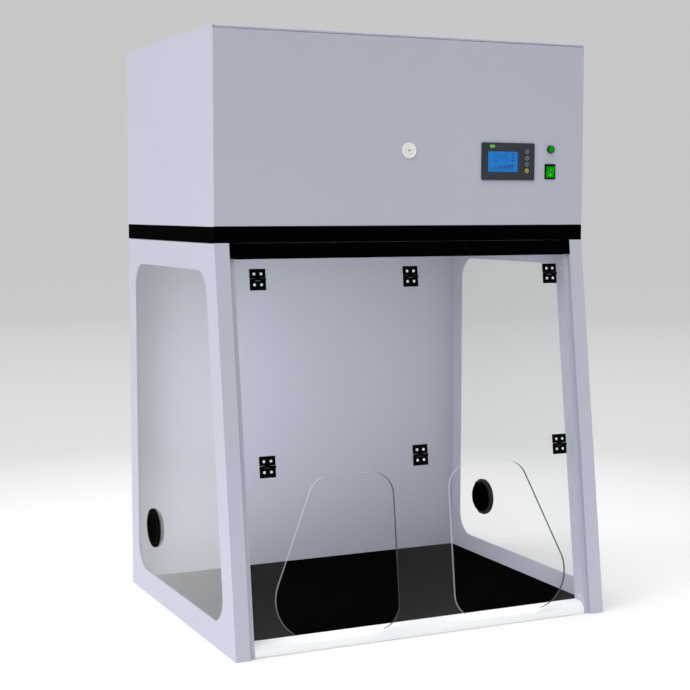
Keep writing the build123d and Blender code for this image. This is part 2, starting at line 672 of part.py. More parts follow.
with BuildPart() as front_door:
    with BuildSketch(facing(DOOR_BACK)):
        with Locations((0, (DOOR_LOW + DOOR_TOP) / 2)):
            Rectangle(WIDTH, DOOR_TOP - DOOR_LOW)
    extrude(amount=SHEET)
    # stiffening rim inside the filter opening
    with BuildSketch(facing(DOOR_BACK)):
        with Locations((0, (STIFF_LOW + STIFF_HIGH) / 2)):
            Rectangle(2 * STIFF_HALF_W, STIFF_HIGH - STIFF_LOW)
            Rectangle(2 * (STIFF_HALF_W - SHEET), STIFF_HIGH - STIFF_LOW - 2 * SHEET,
                      mode=Mode.SUBTRACT)
    extrude(amount=-STIFF_D)
    # openings for the controls and the lock
    with BuildSketch(facing(DOOR_BACK)):
        with Locations((PANEL_X, PANEL_Z)):
            Rectangle(BODY_W + 1, BODY_H + 1)
        with Locations((ROCKER_X, ROCKER_Z)):
            Rectangle(ROCKER_CUT_W + 0.5, ROCKER_CUT_H + 0.5)
        with Locations((LAMP_X, LAMP_Z)):
            Circle(LAMP_R - 1.7)
        with Locations((0, LOCK_Z)):
            Circle(LOCK_BODY_R + FIT)
    extrude(amount=SHEET, mode=Mode.SUBTRACT)
write(front_door, "front_door")

SEAL_W = 12.0
SEAL_LOW = BAND_TOP + 4
SEAL_HIGH = DOOR_TOP - DOOR_LEAF - 3
with BuildPart() as door_seal:
    with BuildSketch(facing(DOOR_BACK)):
        with Locations((0, (SEAL_LOW + SEAL_HIGH) / 2)):
            Rectangle(2 * (INNER_HALF_W - 3), SEAL_HIGH - SEAL_LOW)
            Rectangle(2 * (INNER_HALF_W - 3 - SEAL_W), SEAL_HIGH - SEAL_LOW - 2 * SEAL_W,
                      mode=Mode.SUBTRACT)
    extrude(amount=-SEAL_T)
write(door_seal, "door_seal")

# ---------------------------------------------------------------- controls
PANEL_FACE = Y_HEAD - PANEL_PROUD
KEY_FACE = PANEL_FACE - 1.2
LCD_SINK = 1.0


def key_z(number):
    """Height of one key, counted from the top."""
    return KEY_Z + KEY_PITCH * ((KEYS - 1) / 2 - number)


with BuildPart() as controller:
    with BuildSketch(facing(Y_HEAD)):
        with Locations((PANEL_X, PANEL_Z)):
            RectangleRounded(PANEL_W, PANEL_H, 2.5)
    extrude(amount=PANEL_PROUD)
    fillet(controller.faces().sort_by(Axis.Y)[0].outer_wire().edges(), 1.2)
    with BuildSketch(facing(Y_HEAD)):
        with Locations((PANEL_X, PANEL_Z)):
            Rectangle(BODY_W, BODY_H)
    extrude(amount=-BODY_D)
    # recess for the screen and a well for each key
    with BuildSketch(facing(PANEL_FACE)):
        with Locations((LCD_X, LCD_Z)):
            RectangleRounded(LCD_W + 2, LCD_H + 2, 1.5)
    extrude(amount=-2.5, mode=Mode.SUBTRACT)
    with BuildSketch(facing(PANEL_FACE)):
        with Locations(*[(KEY_X, key_z(number)) for number in range(KEYS)]):
            Circle(KEY_R + RUN)
    extrude(amount=-(KEY_TRAVEL + 3.0), mode=Mode.SUBTRACT)
write(controller, "controller")

with BuildPart() as lcd_screen:
    with BuildSketch(facing(PANEL_FACE + LCD_SINK)):
        with Locations((LCD_X, LCD_Z)):
            RectangleRounded(LCD_W + 1.8, LCD_H + 1.8, 1.4)
    extrude(amount=-1.4)
write(lcd_screen, "lcd_screen")

for number in range(KEYS):
    with BuildPart() as key:
        with BuildSketch(facing(KEY_FACE)):
            with Locations((KEY_X, key_z(number))):
                Circle(KEY_R)
        extrude(amount=-3.2)
        fillet(key.edges().filter_by(GeomType.CIRCLE).sort_by(Axis.Y)[0], 0.6)
    write(key, f"key_{number + 1}")

LAMP_PROUD = 5.0
with BuildPart() as lamp_ring:
    with BuildSketch(facing(Y_HEAD)):
        with Locations((LAMP_X, LAMP_Z)):
            Circle(LAMP_R)
    extrude(amount=LAMP_PROUD, taper=3)
    with BuildSketch(facing(Y_HEAD)):
        with Locations((LAMP_X, LAMP_Z)):
            Circle(LAMP_R - 1.8)
    extrude(amount=-22)
    with BuildSketch(facing(Y_HEAD - LAMP_PROUD)):
        with Locations((LAMP_X, LAMP_Z)):
            Circle(LAMP_R - 1.2)
    extrude(amount=-2.0, mode=Mode.SUBTRACT)
write(lamp_ring, "lamp_ring")

with BuildPart() as lamp_lens:
    with BuildSketch(facing(Y_HEAD - LAMP_PROUD + 2.0)):
        with Locations((LAMP_X, LAMP_Z)):
            Circle(LAMP_R - 1.25)
    extrude(amount=3.0)
    fillet(lamp_lens.edges().filter_by(GeomType.CIRCLE).sort_by(Axis.Y)[0], 1.2)
write(lamp_lens, "lamp_lens")

ROCKER_AXIS_Y = Y_HEAD + 3.0
WELL_W, WELL_H = ROCKER_W - 6.5, ROCKER_H - 5.5
with BuildPart() as rocker_bezel:
    with BuildSketch(facing(Y_HEAD)):
        with Locations((ROCKER_X, ROCKER_Z)):
            RectangleRounded(ROCKER_W, ROCKER_H, 1.5)
    extrude(amount=2.0)
    fillet(rocker_bezel.faces().sort_by(Axis.Y)[0].outer_wire().edges(), 0.8)
    with BuildSketch(facing(Y_HEAD)):
        with Locations((ROCKER_X, ROCKER_Z)):
            Rectangle(ROCKER_CUT_W, ROCKER_CUT_H)
    extrude(amount=-20)
    with BuildSketch(facing(Y_HEAD - 3)):
        with Locations((ROCKER_X, ROCKER_Z)):
            Rectangle(WELL_W, WELL_H)
    extrude(amount=-16, mode=Mode.SUBTRACT)
write(rocker_bezel, "rocker_bezel")

ROCKER_TILT = 8.0
ROCKER_LEN = WELL_H - 2.4
TILTED = Plane(origin=(ROCKER_X - WELL_W / 2 + RUN, ROCKER_AXIS_Y, ROCKER_Z),
               x_dir=(0, cos(radians(ROCKER_TILT)), sin(radians(ROCKER_TILT))), z_dir=(1, 0, 0))
with BuildPart() as rocker:
    # two pads in a shallow V over a pointed back, its upper end standing out: switched off
    with BuildSketch(TILTED):
        with BuildLine():
            Polyline(
                (-7.5, ROCKER_LEN / 2),
                (-5.8, 0),
                (-7.5, -ROCKER_LEN / 2),
                (-0.5, 1.5 - ROCKER_LEN / 2),
                (5.0, 0),
                (-0.5, ROCKER_LEN / 2 - 1.5),
                close=True,
            )
        make_face()
    extrude(amount=WELL_W - 2 * RUN)
    fillet(rocker.edges().filter_by(Axis.X).sort_by(Axis.Y)[:2], 0.8)
write(rocker, "rocker")

# ---------------------------------------------------------------- lock
CAM_Y = DECK_FRONT + SHEET + 1
CAM_T = 2.5
CAM_REACH = 31.0
with BuildPart() as lock_body:
    with BuildSketch(facing(Y_HEAD)):
        with Locations((0, LOCK_Z)):
            Circle(LOCK_R)
    extrude(amount=3.2, taper=12)
    with BuildSketch(facing(Y_HEAD - 3.2)):
        with Locations((0, LOCK_Z)):
            Circle(LOCK_R - 3.2)
    extrude(amount=-1.4, mode=Mode.SUBTRACT)
    with BuildSketch(facing(Y_HEAD)):
        with Locations((0, LOCK_Z)):
            Circle(LOCK_BODY_R)
    extrude(amount=-(CAM_Y - Y_HEAD - RUN))
    with BuildSketch(facing(Y_HEAD - 4)):
        with Locations((0, LOCK_Z)):
            Circle(PLUG_R + FIT)
    extrude(amount=-(CAM_Y - Y_HEAD + 5), mode=Mode.SUBTRACT)
write(lock_body, "lock_body")

with BuildPart() as lock_plug:
    with BuildSketch(facing(Y_HEAD - 2.6)):
        with Locations((0, LOCK_Z)):
            Circle(PLUG_R)
    extrude(amount=-(CAM_Y - Y_HEAD + 2.6))
    with BuildSketch(facing(Y_HEAD - 2.6)):
        with Locations((0, LOCK_Z)):
            Rectangle(7.0, 1.6)
            Rectangle(1.6, 3.0)
    extrude(amount=-12, mode=Mode.SUBTRACT)
write(lock_plug, "lock_plug")

with BuildPart() as lock_cam:
    with BuildSketch(facing(CAM_Y)):
        with Locations((CAM_REACH / 2 - 4, LOCK_Z)):
            SlotOverall(CAM_REACH + 8, 15)
    extrude(amount=-CAM_T)
write(lock_cam, "lock_cam")

# ---------------------------------------------------------------- filters
PRE_T = 22.0
with BuildPart() as pre_filter:
    with Locations((0, AIR_Y, FRAME_H + 2 * SHEET)):
        Box(AIR_W - 1, AIR_D - 1, PRE_T, align=LOW)
write(pre_filter, "pre_filter")

FILTER_LIP = 18.0
with BuildPart() as filter_case:
    with Locations((0, AIR_Y, BAND_TOP)):
        Box(FILTER_W, FILTER_D, FILTER_H, align=LOW)
        Box(FILTER_W - 2 * FILTER_LIP, FILTER_D - 2 * FILTER_LIP, FILTER_H, align=LOW,
            mode=Mode.SUBTRACT)
    with Locations((0, AIR_Y, BAND_TOP + SHEET)):
        Box(FILTER_W - 2 * SHEET, FILTER_D - 2 * SHEET, FILTER_H - 2 * SHEET, align=LOW,
            mode=Mode.SUBTRACT)
write(filter_case, "filter_case")

with BuildPart() as carbon_bed:
    with Locations((0, AIR_Y, BAND_TOP + SHEET)):
        Box(FILTER_W - 2 * SHEET, FILTER_D - 2 * SHEET, FILTER_H - 2 * SHEET, align=LOW)
write(carbon_bed, "carbon_bed")

# ---------------------------------------------------------------- fan
with BuildPart() as fan_deck:
    with BuildSketch(Plane.XY.offset(DECK_TOP)):
        with Locations((0, (DECK_FRONT + Y_BACK - SHEET) / 2)):
            Rectangle(2 * INNER_HALF_W, Y_BACK - SHEET - DECK_FRONT)
        with Locations((0, FAN_Y)):
            Circle(INLET_R + 8, mode=Mode.SUBTRACT)
    extrude(amount=-SHEET)
    with Locations((0, DECK_FRONT, DECK_TOP)):
        Box(2 * INNER_HALF_W, SHEET, DECK_DROP, align=(Align.CENTER, Align.MIN, Align.MAX))
write(fan_deck, "fan_deck")

with BuildPart() as fan_inlet:
    with BuildSketch(Plane.XZ.offset(-FAN_Y)):
        with BuildLine():
            Polyline(
                (INLET_R + 24, DECK_TOP),
                (INLET_R + 24, DECK_TOP + SHEET),
                (INLET_R + 2, DECK_TOP + SHEET),
                (INLET_R - 4, DECK_TOP + 13),
                (INLET_R - 6, DECK_TOP + 13),
                (INLET_R, DECK_TOP),
                close=True,
            )
        make_face()
    revolve(axis=Axis((0, FAN_Y, 0), (0, 0, 1)))
write(fan_inlet, "fan_inlet")

WHEEL_TOP = WHEEL_LOW + WHEEL_H
with BuildPart() as fan_wheel:
    with BuildSketch(Plane.XY.offset(WHEEL_TOP)):
        with Locations((0, FAN_Y)):
            Circle(WHEEL_R)
    extrude(amount=-SHEET)
    # shroud round the inlet, with the blades between it and the back plate
    with BuildSketch(Plane.XY.offset(WHEEL_LOW)):
        with Locations((0, FAN_Y)):
            Circle(WHEEL_R)
            Circle(INLET_R + 1, mode=Mode.SUBTRACT)
    extrude(amount=SHEET)
    with BuildSketch(Plane.XY.offset(WHEEL_LOW + 1)):
        with Locations((0, FAN_Y)):
            with PolarLocations(WHEEL_R - 16, BLADES):
                Rectangle(34, 2.5, rotation=-38)
    extrude(amount=WHEEL_H - 2)
    # rotor of the motor, closed at the bottom and bored for the shaft
    with BuildSketch(Plane.XY.offset(WHEEL_TOP)):
        with Locations((0, FAN_Y)):
            Circle(HUB_R)
    extrude(amount=-48)
    with BuildSketch(Plane.XY.offset(WHEEL_TOP)):
        with Locations((0, FAN_Y)):
            Circle(SHAFT_R + FIT)
    extrude(amount=-40, mode=Mode.SUBTRACT)
write(fan_wheel, "fan_wheel")

BRACKET_Z = WHEEL_TOP + 12.0
BRACKET_HALF = 140.0
with BuildPart() as fan_motor:
    with BuildSketch(Plane.XY.offset(WHEEL_TOP + 1.5)):
        with Locations((0, FAN_Y)):
            Circle(HUB_R - 2)
    extrude(amount=BRACKET_Z - WHEEL_TOP - 1.5)
    with BuildSketch(Plane.XY.offset(WHEEL_TOP + 1.5)):
        with Locations((0, FAN_Y)):
            Circle(SHAFT_R)
    extrude(amount=-36)
write(fan_motor, "fan_motor")

BRACKET_W = 50.0
with BuildPart() as motor_bracket:
    with BuildSketch(Plane.XZ.offset(-FAN_Y - BRACKET_W / 2)):
        with BuildLine():
            Polyline(
                (-BRACKET_HALF - 25, DECK_TOP),
                (-BRACKET_HALF, DECK_TOP),
                (-BRACKET_HALF, BRACKET_Z),
                (BRACKET_HALF, BRACKET_Z),
                (BRACKET_HALF, DECK_TOP),
                (BRACKET_HALF + 25, DECK_TOP),
                (BRACKET_HALF + 25, DECK_TOP + 3),
                (BRACKET_HALF + 3, DECK_TOP + 3),
                (BRACKET_HALF + 3, BRACKET_Z + 3),
                (-BRACKET_HALF - 3, BRACKET_Z + 3),
                (-BRACKET_HALF - 3, DECK_TOP + 3),
                (-BRACKET_HALF - 25, DECK_TOP + 3),
                close=True,
            )
        make_face()
    extrude(amount=BRACKET_W)
write(motor_bracket, "motor_bracket")

# ---------------------------------------------------------------- mains inlet on the back
with BuildPart() as power_inlet:
    with Locations((INLET_X, Y_BACK - SHEET, INLET_Z)):
        Box(INLET_W, 3, INLET_H, align=(Align.CENTER, Align.MAX, Align.CENTER))
        Box(INLET_W - 20.5, SHEET - 0.2, INLET_H - 8.5,
            align=(Align.CENTER, Align.MIN, Align.CENTER))
        Box(INLET_W - 18, 24, INLET_H - 6, align=(Align.CENTER, Align.MAX, Align.CENTER))
    with Locations((INLET_X, Y_BACK, INLET_Z)):
        Box(INLET_W - 24, 17, INLET_H - 12, align=(Align.CENTER, Align.MAX, Align.CENTER),
            mode=Mode.SUBTRACT)
    for x in (-7.0, 0.0, 7.0):
        with Locations((INLET_X + x, Y_BACK - 18, INLET_Z - (3.0 if x else -3.0))):
            Box(2.0, 14.0, 4.0, align=(Align.CENTER, Align.MIN, Align.CENTER))
write(power_inlet, "power_inlet")

print("front slopes", round(degrees(SLOPE), 2), "degrees; hinge axes at",
      [tuple(round(c, 2) for c in hinge_axis(line)) for line in (UPPER_LINE, LOWER_LINE)])
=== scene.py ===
"""Looks of a bench-top filtering laboratory enclosure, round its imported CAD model. Metres, +Z up."""
import json
from math import cos, pi, radians, sin

import bmesh
import bpy
from mathutils import Matrix, Vector


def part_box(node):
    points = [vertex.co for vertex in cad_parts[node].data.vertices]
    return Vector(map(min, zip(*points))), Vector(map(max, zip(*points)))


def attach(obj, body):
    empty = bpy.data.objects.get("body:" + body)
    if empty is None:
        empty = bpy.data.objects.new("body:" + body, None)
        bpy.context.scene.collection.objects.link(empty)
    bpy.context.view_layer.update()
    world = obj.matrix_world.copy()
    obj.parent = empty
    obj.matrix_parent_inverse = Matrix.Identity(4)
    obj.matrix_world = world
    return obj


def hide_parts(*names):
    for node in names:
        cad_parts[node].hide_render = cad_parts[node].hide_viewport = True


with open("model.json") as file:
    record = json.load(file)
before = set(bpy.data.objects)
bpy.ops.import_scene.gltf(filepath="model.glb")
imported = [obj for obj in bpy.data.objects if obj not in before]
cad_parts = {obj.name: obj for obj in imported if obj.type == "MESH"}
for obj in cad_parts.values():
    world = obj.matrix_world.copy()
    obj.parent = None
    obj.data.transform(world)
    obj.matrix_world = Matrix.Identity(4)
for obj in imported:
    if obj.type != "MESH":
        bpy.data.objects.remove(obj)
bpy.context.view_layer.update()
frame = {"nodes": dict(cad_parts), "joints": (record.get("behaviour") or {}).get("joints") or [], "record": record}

MM = 0.001
NODES = frame["nodes"]
JOINTS = {joint["name"]: joint for joint in frame["joints"]}
BODY_OF = {node: body for body, members in frame["record"]["behaviour"]["bodies"].items()
           for node in members}
SLOT_OF = {part["node"]: part["material_slot"] for part in frame["record"]["subparts"]}

# directions on the sloping clear front, from its two hinge axes
UPPER_AXIS = Vector(JOINTS["upper_flap_swing"]["pos_m"])
LOWER_AXIS = Vector(JOINTS["lower_flap_fold"]["pos_m"])
DOWN_FRONT = (LOWER_AXIS - UPPER_AXIS).normalized()
FRONT_NORMAL = DOWN_FRONT.cross(Vector((1, 0, 0))).normalized()
if FRONT_NORMAL.y > 0:
    FRONT_NORMAL = -FRONT_NORMAL
UP = Vector((0, 0, 1))
BACKWARD = Vector((0, 1, 0))


# ---------------------------------------------------------------- camera
def camera():
    """The camera stands in front and to the left, a little above the top of the clear front."""
    data = bpy.data.cameras.new("camera")
    data.lens = 75.79
    data.sensor_width = 36.0
    data.shift_x = 0.0185
    data.shift_y = -0.0024
    data.clip_end = 200.0
    shot = bpy.data.objects.new("camera", data)
    shot.location = (-1.31434, -2.72104, 0.81851)
    shot.rotation_euler = (radians(90 - 5.285), 0, radians(-24.706))
    bpy.context.scene.collection.objects.link(shot)
    bpy.context.scene.camera = shot


# ---------------------------------------------------------------- light and stage
SKY = 0.575
SUN_SPREAD = 70          # degrees
FLOOR_REACH = 45.0
FLOOR_DROP = 0.5 * MM    # the floor lies this far below the object's foot
SHADE_REACH = 24.0
# painted falloff of light: grey of the floor by its distance from the object, bright near it and darker further
# off, as a share of SHADE_REACH
FLOOR_PAINTED_FALLOFF = ((0.0, 0.86), (0.03, 0.84), (0.086, 0.545), (0.35, 0.41), (0.9, 0.40))


def soft_sun(name, towards, strength):
    """Distant soft light that shines from the given side."""
    data = bpy.data.lights.new(name, "SUN")
    data.energy = strength
    data.angle = radians(SUN_SPREAD)
    lamp = bpy.data.objects.new(name, data)
    lamp.rotation_euler = Vector(towards).to_track_quat("Z", "Y").to_euler()
    lamp.visible_glossy = False
    bpy.context.scene.collection.objects.link(lamp)


def inside_fill(name, place, size, turn, power):
    """Soft panel within the working space. It faces backward, turned about Z by turn degrees."""
    data = bpy.data.lights.new(name, "AREA")
    data.shape = "RECTANGLE"
    data.size, data.size_y = size
    data.energy = power
    lamp = bpy.data.objects.new(name, data)
    lamp.location = place
    lamp.rotation_euler = (radians(90), 0, radians(turn))
    lamp.visible_camera = lamp.visible_glossy = lamp.visible_transmission = False
    bpy.context.scene.collection.objects.link(lamp)


def studio():
    """Pale floor with painted light that darkens into a grey distance, an even sky, two soft lights and two fills.
    """
    bpy.context.scene.view_settings.view_transform = "Standard"
    world = bpy.data.worlds.new("studio")
    world.use_nodes = True
    background = world.node_tree.nodes["Background"]
    background.inputs["Color"].default_value = (1, 1, 1, 1)
    background.inputs["Strength"].default_value = SKY
    bpy.context.scene.world = world
    soft_sun("left_light", (-1.0, 0.0, 0.30), 1.80)
    soft_sun("top_light", (-0.15, -0.10, 1.0), 2.1)
    inside_fill("front_fill", (0, -0.16, 0.36), (0.70, 0.66), 0, 0.85)
    inside_fill("left_fill", (-0.36, 0.02, 0.33), (0.40, 0.62), -90, 1.3)

    mesh = bpy.data.meshes.new("floor")
    corners = [(x * FLOOR_REACH, y * FLOOR_REACH, -FLOOR_DROP)
               for x, y in ((-1, -1), (1, -1), (1, 1), (-1, 1))]
    mesh.from_pydata(corners, [], [(0, 1, 2, 3)])
    floor = bpy.data.objects.new("floor", mesh)
    bpy.context.scene.collection.objects.link(floor)
    pale = Surface("pale_floor", (0.9, 0.9, 0.9), 0.75)
    distance = pale.add("ShaderNodeVectorMath", operation="LENGTH")
    pale.link(pale.coordinates(), distance.inputs[0])
    # painted falloff of light: the floor's colour is brightest near the object and greyer with distance
    painted_falloff = pale.ramp(pale.scaled(distance.outputs["Value"], 1 / SHADE_REACH),
                         [(place, (shade, shade, shade)) for place, shade in FLOOR_PAINTED_FALLOFF])
    pale.link(painted_falloff, pale.shader.inputs["Base Color"])
    mesh.materials.append(pale.material)


# ---------------------------------------------------------------- materials
class Surface:
    """A material's node tree while it is put together. Its patterns run in the object's own space."""

    def __init__(self, name, colour, rough, metal=0.0, **sockets):
        self.material = bpy.data.materials.new(name)
        self.material.use_nodes = True
        self.tree = self.material.node_tree
        self.shader = self.tree.nodes["Principled BSDF"]
        self.output = self.tree.nodes["Material Output"]
        self.shader.inputs["Base Color"].default_value = (*colour, 1)
        self.shader.inputs["Roughness"].default_value = rough
        self.shader.inputs["Metallic"].default_value = metal
        for socket, value in sockets.items():
            self.shader.inputs[socket.replace("_", " ")].default_value = value
        self.colour = colour
        self.rough = rough

    def add(self, kind, **settings):
        """A new node with its settings."""
        node = self.tree.nodes.new(kind)
        for name, value in settings.items():
            setattr(node, name, value)
        return node

    def link(self, source, target):
        self.tree.links.new(source, target)

    def coordinates(self):
        """Places in the object's own space, in metres."""
        return self.add("ShaderNodeTexCoord").outputs["Object"]

    def scaled(self, value, factor, plus=0.0):
        """value * factor + plus."""
        node = self.add("ShaderNodeMath", operation="MULTIPLY_ADD")
        self.link(value, node.inputs[0])
        node.inputs[1].default_value = factor
        node.inputs[2].default_value = plus
        return node.outputs[0]

    def noise(self, scale, detail=3.0, stretch=(1, 1, 1)):
        """Noise with scale features to the metre, stretched along an axis where stretch is small."""
        mapping = self.add("ShaderNodeMapping")
        mapping.inputs["Scale"].default_value = stretch
        self.link(self.coordinates(), mapping.inputs["Vector"])
        node = self.add("ShaderNodeTexNoise")
        node.inputs["Scale"].default_value = scale
        node.inputs["Detail"].default_value = detail
        self.link(mapping.outputs["Vector"], node.inputs["Vector"])
        return node.outputs["Fac"]

    def ramp(self, value, stops):
        """Colour from (place, colour) stops."""
        node = self.add("ShaderNodeValToRGB")
        elements = node.color_ramp.elements
        while len(elements) < len(stops):
            elements.new(0.5)
        for element, (place, colour) in zip(elements, stops):
            element.position = place
            element.color = (*colour, 1)
        self.link(value, node.inputs["Fac"])
        return node.outputs["Color"]

    def tint(self, value, amount):
        """Lets the base colour vary by the given share, up and down."""
        light = [min(1.0, c * (1 + amount)) for c in self.colour]
        dark = [c * (1 - amount) for c in self.colour]
        self.link(self.ramp(value, ((0.35, dark), (0.65, light))), self.shader.inputs["Base Color"])
        return self

    def dull(self, value, amount):
        """Lets the roughness vary by the given amount, up and down."""
        varied = self.scaled(value, 2 * amount, self.rough - amount)
        self.link(varied, self.shader.inputs["Roughness"])
        return self

    def bump(self, value, height, strength=1.0):
        """Relief of the given height in metres."""
        node = self.add("ShaderNodeBump")
        node.inputs["Strength"].default_value = strength
        node.inputs["Distance"].default_value = height
        self.link(value, node.inputs["Height"])
        self.link(node.outputs["Normal"], self.shader.inputs["Normal"])
        return self


def coated(name, colour, rough=0.42, **sockets):
    """Powder coat: a fine pebbled skin, a little duller in patches."""
    surface = Surface(name, colour, rough, **sockets)
    surface.tint(surface.noise(3.5, 4), 0.012)
    surface.dull(surface.noise(9, 4), 0.05)
    return surface.bump(surface.noise(650, 2), 0.06 * MM, 0.2).material


def moulded(name, colour, rough, grain=1400, **sockets):
    """Moulded plastic or rubber with a fine spark-eroded grain."""
    surface = Surface(name, colour, rough, **sockets)
    surface.tint(surface.noise(30, 4), 0.06)
    surface.dull(surface.noise(60, 3), 0.04)
    return surface.bump(surface.noise(grain, 2), 0.03 * MM, 0.4).material


def bright_metal(name, colour, rough, stretch=(1, 1, 1), metal=1.0):
    """Plated or rolled metal with faint scratches. Below 1, metal lets a milky plating through."""
    surface = Surface(name, colour, rough, metal)
    surface.tint(surface.noise(90, 5), 0.05)
    surface.dull(surface.noise(220, 5, stretch), 0.06)
    return surface.bump(surface.noise(900, 3, stretch), 0.01 * MM, 0.3).material


def galvanised(name):
    """Zinc-coated sheet with its large frosted crystals."""
    surface = Surface(name, (0.50, 0.52, 0.54), 0.42, 1.0)
    crystals = surface.add("ShaderNodeTexVoronoi")
    crystals.inputs["Scale"].default_value = 75
    surface.link(surface.coordinates(), crystals.inputs["Vector"])
    grey = surface.add("ShaderNodeSeparateColor")
    surface.link(crystals.outputs["Color"], grey.inputs["Color"])
    surface.tint(grey.outputs[0], 0.14)
    surface.dull(grey.outputs[1], 0.08)
    return surface.material


def clear(name, tint, haze, clarity, shine):
    """Polished clear sheet: see-through face on, a mirror at a grazing angle, with a trace of haze.
    shine is the share of light that each face reflects when it is looked at square on."""
    surface = Surface(name, tint, 0.05)
    surface.tree.nodes.remove(surface.shader)
    through = surface.add("ShaderNodeBsdfTransparent")
    through.inputs["Color"].default_value = (*clarity, 1)
    mirror = surface.add("ShaderNodeBsdfGlossy")
    mirror.inputs["Color"].default_value = (0.95, 0.96, 0.97, 1)
    surface.link(surface.scaled(surface.noise(40, 3), 0.015, 0.005), mirror.inputs["Roughness"])
    milk = surface.add("ShaderNodeBsdfDiffuse")
    milk.inputs["Color"].default_value = (*tint, 1)
    facing = surface.add("ShaderNodeLayerWeight")
    facing.inputs["Blend"].default_value = 0.5
    fifth = surface.add("ShaderNodeMath", operation="POWER")
    surface.link(facing.outputs["Facing"], fifth.inputs[0])
    fifth.inputs[1].default_value = 5.0
    mirrored = surface.scaled(fifth.outputs[0], 1 - shine, shine)
    body = surface.add("ShaderNodeMixShader")
    surface.link(surface.scaled(surface.noise(5, 4), haze, haze / 2), body.inputs[0])
    surface.link(through.outputs[0], body.inputs[1])
    surface.link(milk.outputs[0], body.inputs[2])
    whole = surface.add("ShaderNodeMixShader")
    surface.link(mirrored, whole.inputs[0])
    surface.link(body.outputs[0], whole.inputs[1])
    surface.link(mirror.outputs[0], whole.inputs[2])
    surface.link(whole.outputs[0], surface.output.inputs["Surface"])
    return surface.material


def laminate(name):
    """Black bench laminate with a low sheen and faint wipe marks."""
    surface = Surface(name, (0.0008, 0.0008, 0.0008), 0.6, Specular_IOR_Level=0.0015)
    surface.tint(surface.noise(700, 3), 0.35)
    surface.dull(surface.noise(7, 5, (1, 4, 1)), 0.07)
    return surface.bump(surface.noise(500, 3), 0.02 * MM, 0.3).material


def lit_screen(name):
    """Blue backlit screen with its fine dot grid."""
    surface = Surface(name, (0.0, 0.08, 0.3), 0.35, Specular_IOR_Level=0.2)
    grid = surface.add("ShaderNodeTexBrick")
    grid.inputs["Scale"].default_value = 900
    grid.inputs["Mortar Size"].default_value = 0.03
    grid.inputs["Color1"].default_value = (0.006, 0.10, 0.30, 1)
    grid.inputs["Color2"].default_value = (0.008, 0.115, 0.33, 1)
    grid.inputs["Mortar"].default_value = (0.003, 0.07, 0.23, 1)
    swap = surface.add("ShaderNodeMapping")
    swap.inputs["Rotation"].default_value = (pi / 2, 0, 0)
    surface.link(surface.coordinates(), swap.inputs["Vector"])
    surface.link(swap.outputs["Vector"], grid.inputs["Vector"])
    surface.link(grid.outputs["Color"], surface.shader.inputs["Base Color"])
    surface.link(grid.outputs["Color"], surface.shader.inputs["Emission Color"])
    surface.shader.inputs["Emission Strength"].default_value = 1.0
    return surface.material


def granules(name):
    """Bed of carbon grains."""
    surface = Surface(name, (0.018, 0.018, 0.018), 0.75)
    grains = surface.add("ShaderNodeTexVoronoi")
    grains.inputs["Scale"].default_value = 350
    surface.link(surface.coordinates(), grains.inputs["Vector"])
    surface.tint(grains.outputs["Distance"], 0.5)
    return surface.bump(grains.outputs["Distance"], 1.5 * MM, 1.0).material


def fibre_mat(name):
    """White filter fibre: short crossed strands."""
    surface = Surface(name, (0.80, 0.80, 0.78), 0.9)
    strands = surface.noise(900, 4, (1, 0.15, 1))
    surface.tint(strands, 0.10)
    return surface.bump(strands, 0.4 * MM, 0.8).material


MATERIALS = {}


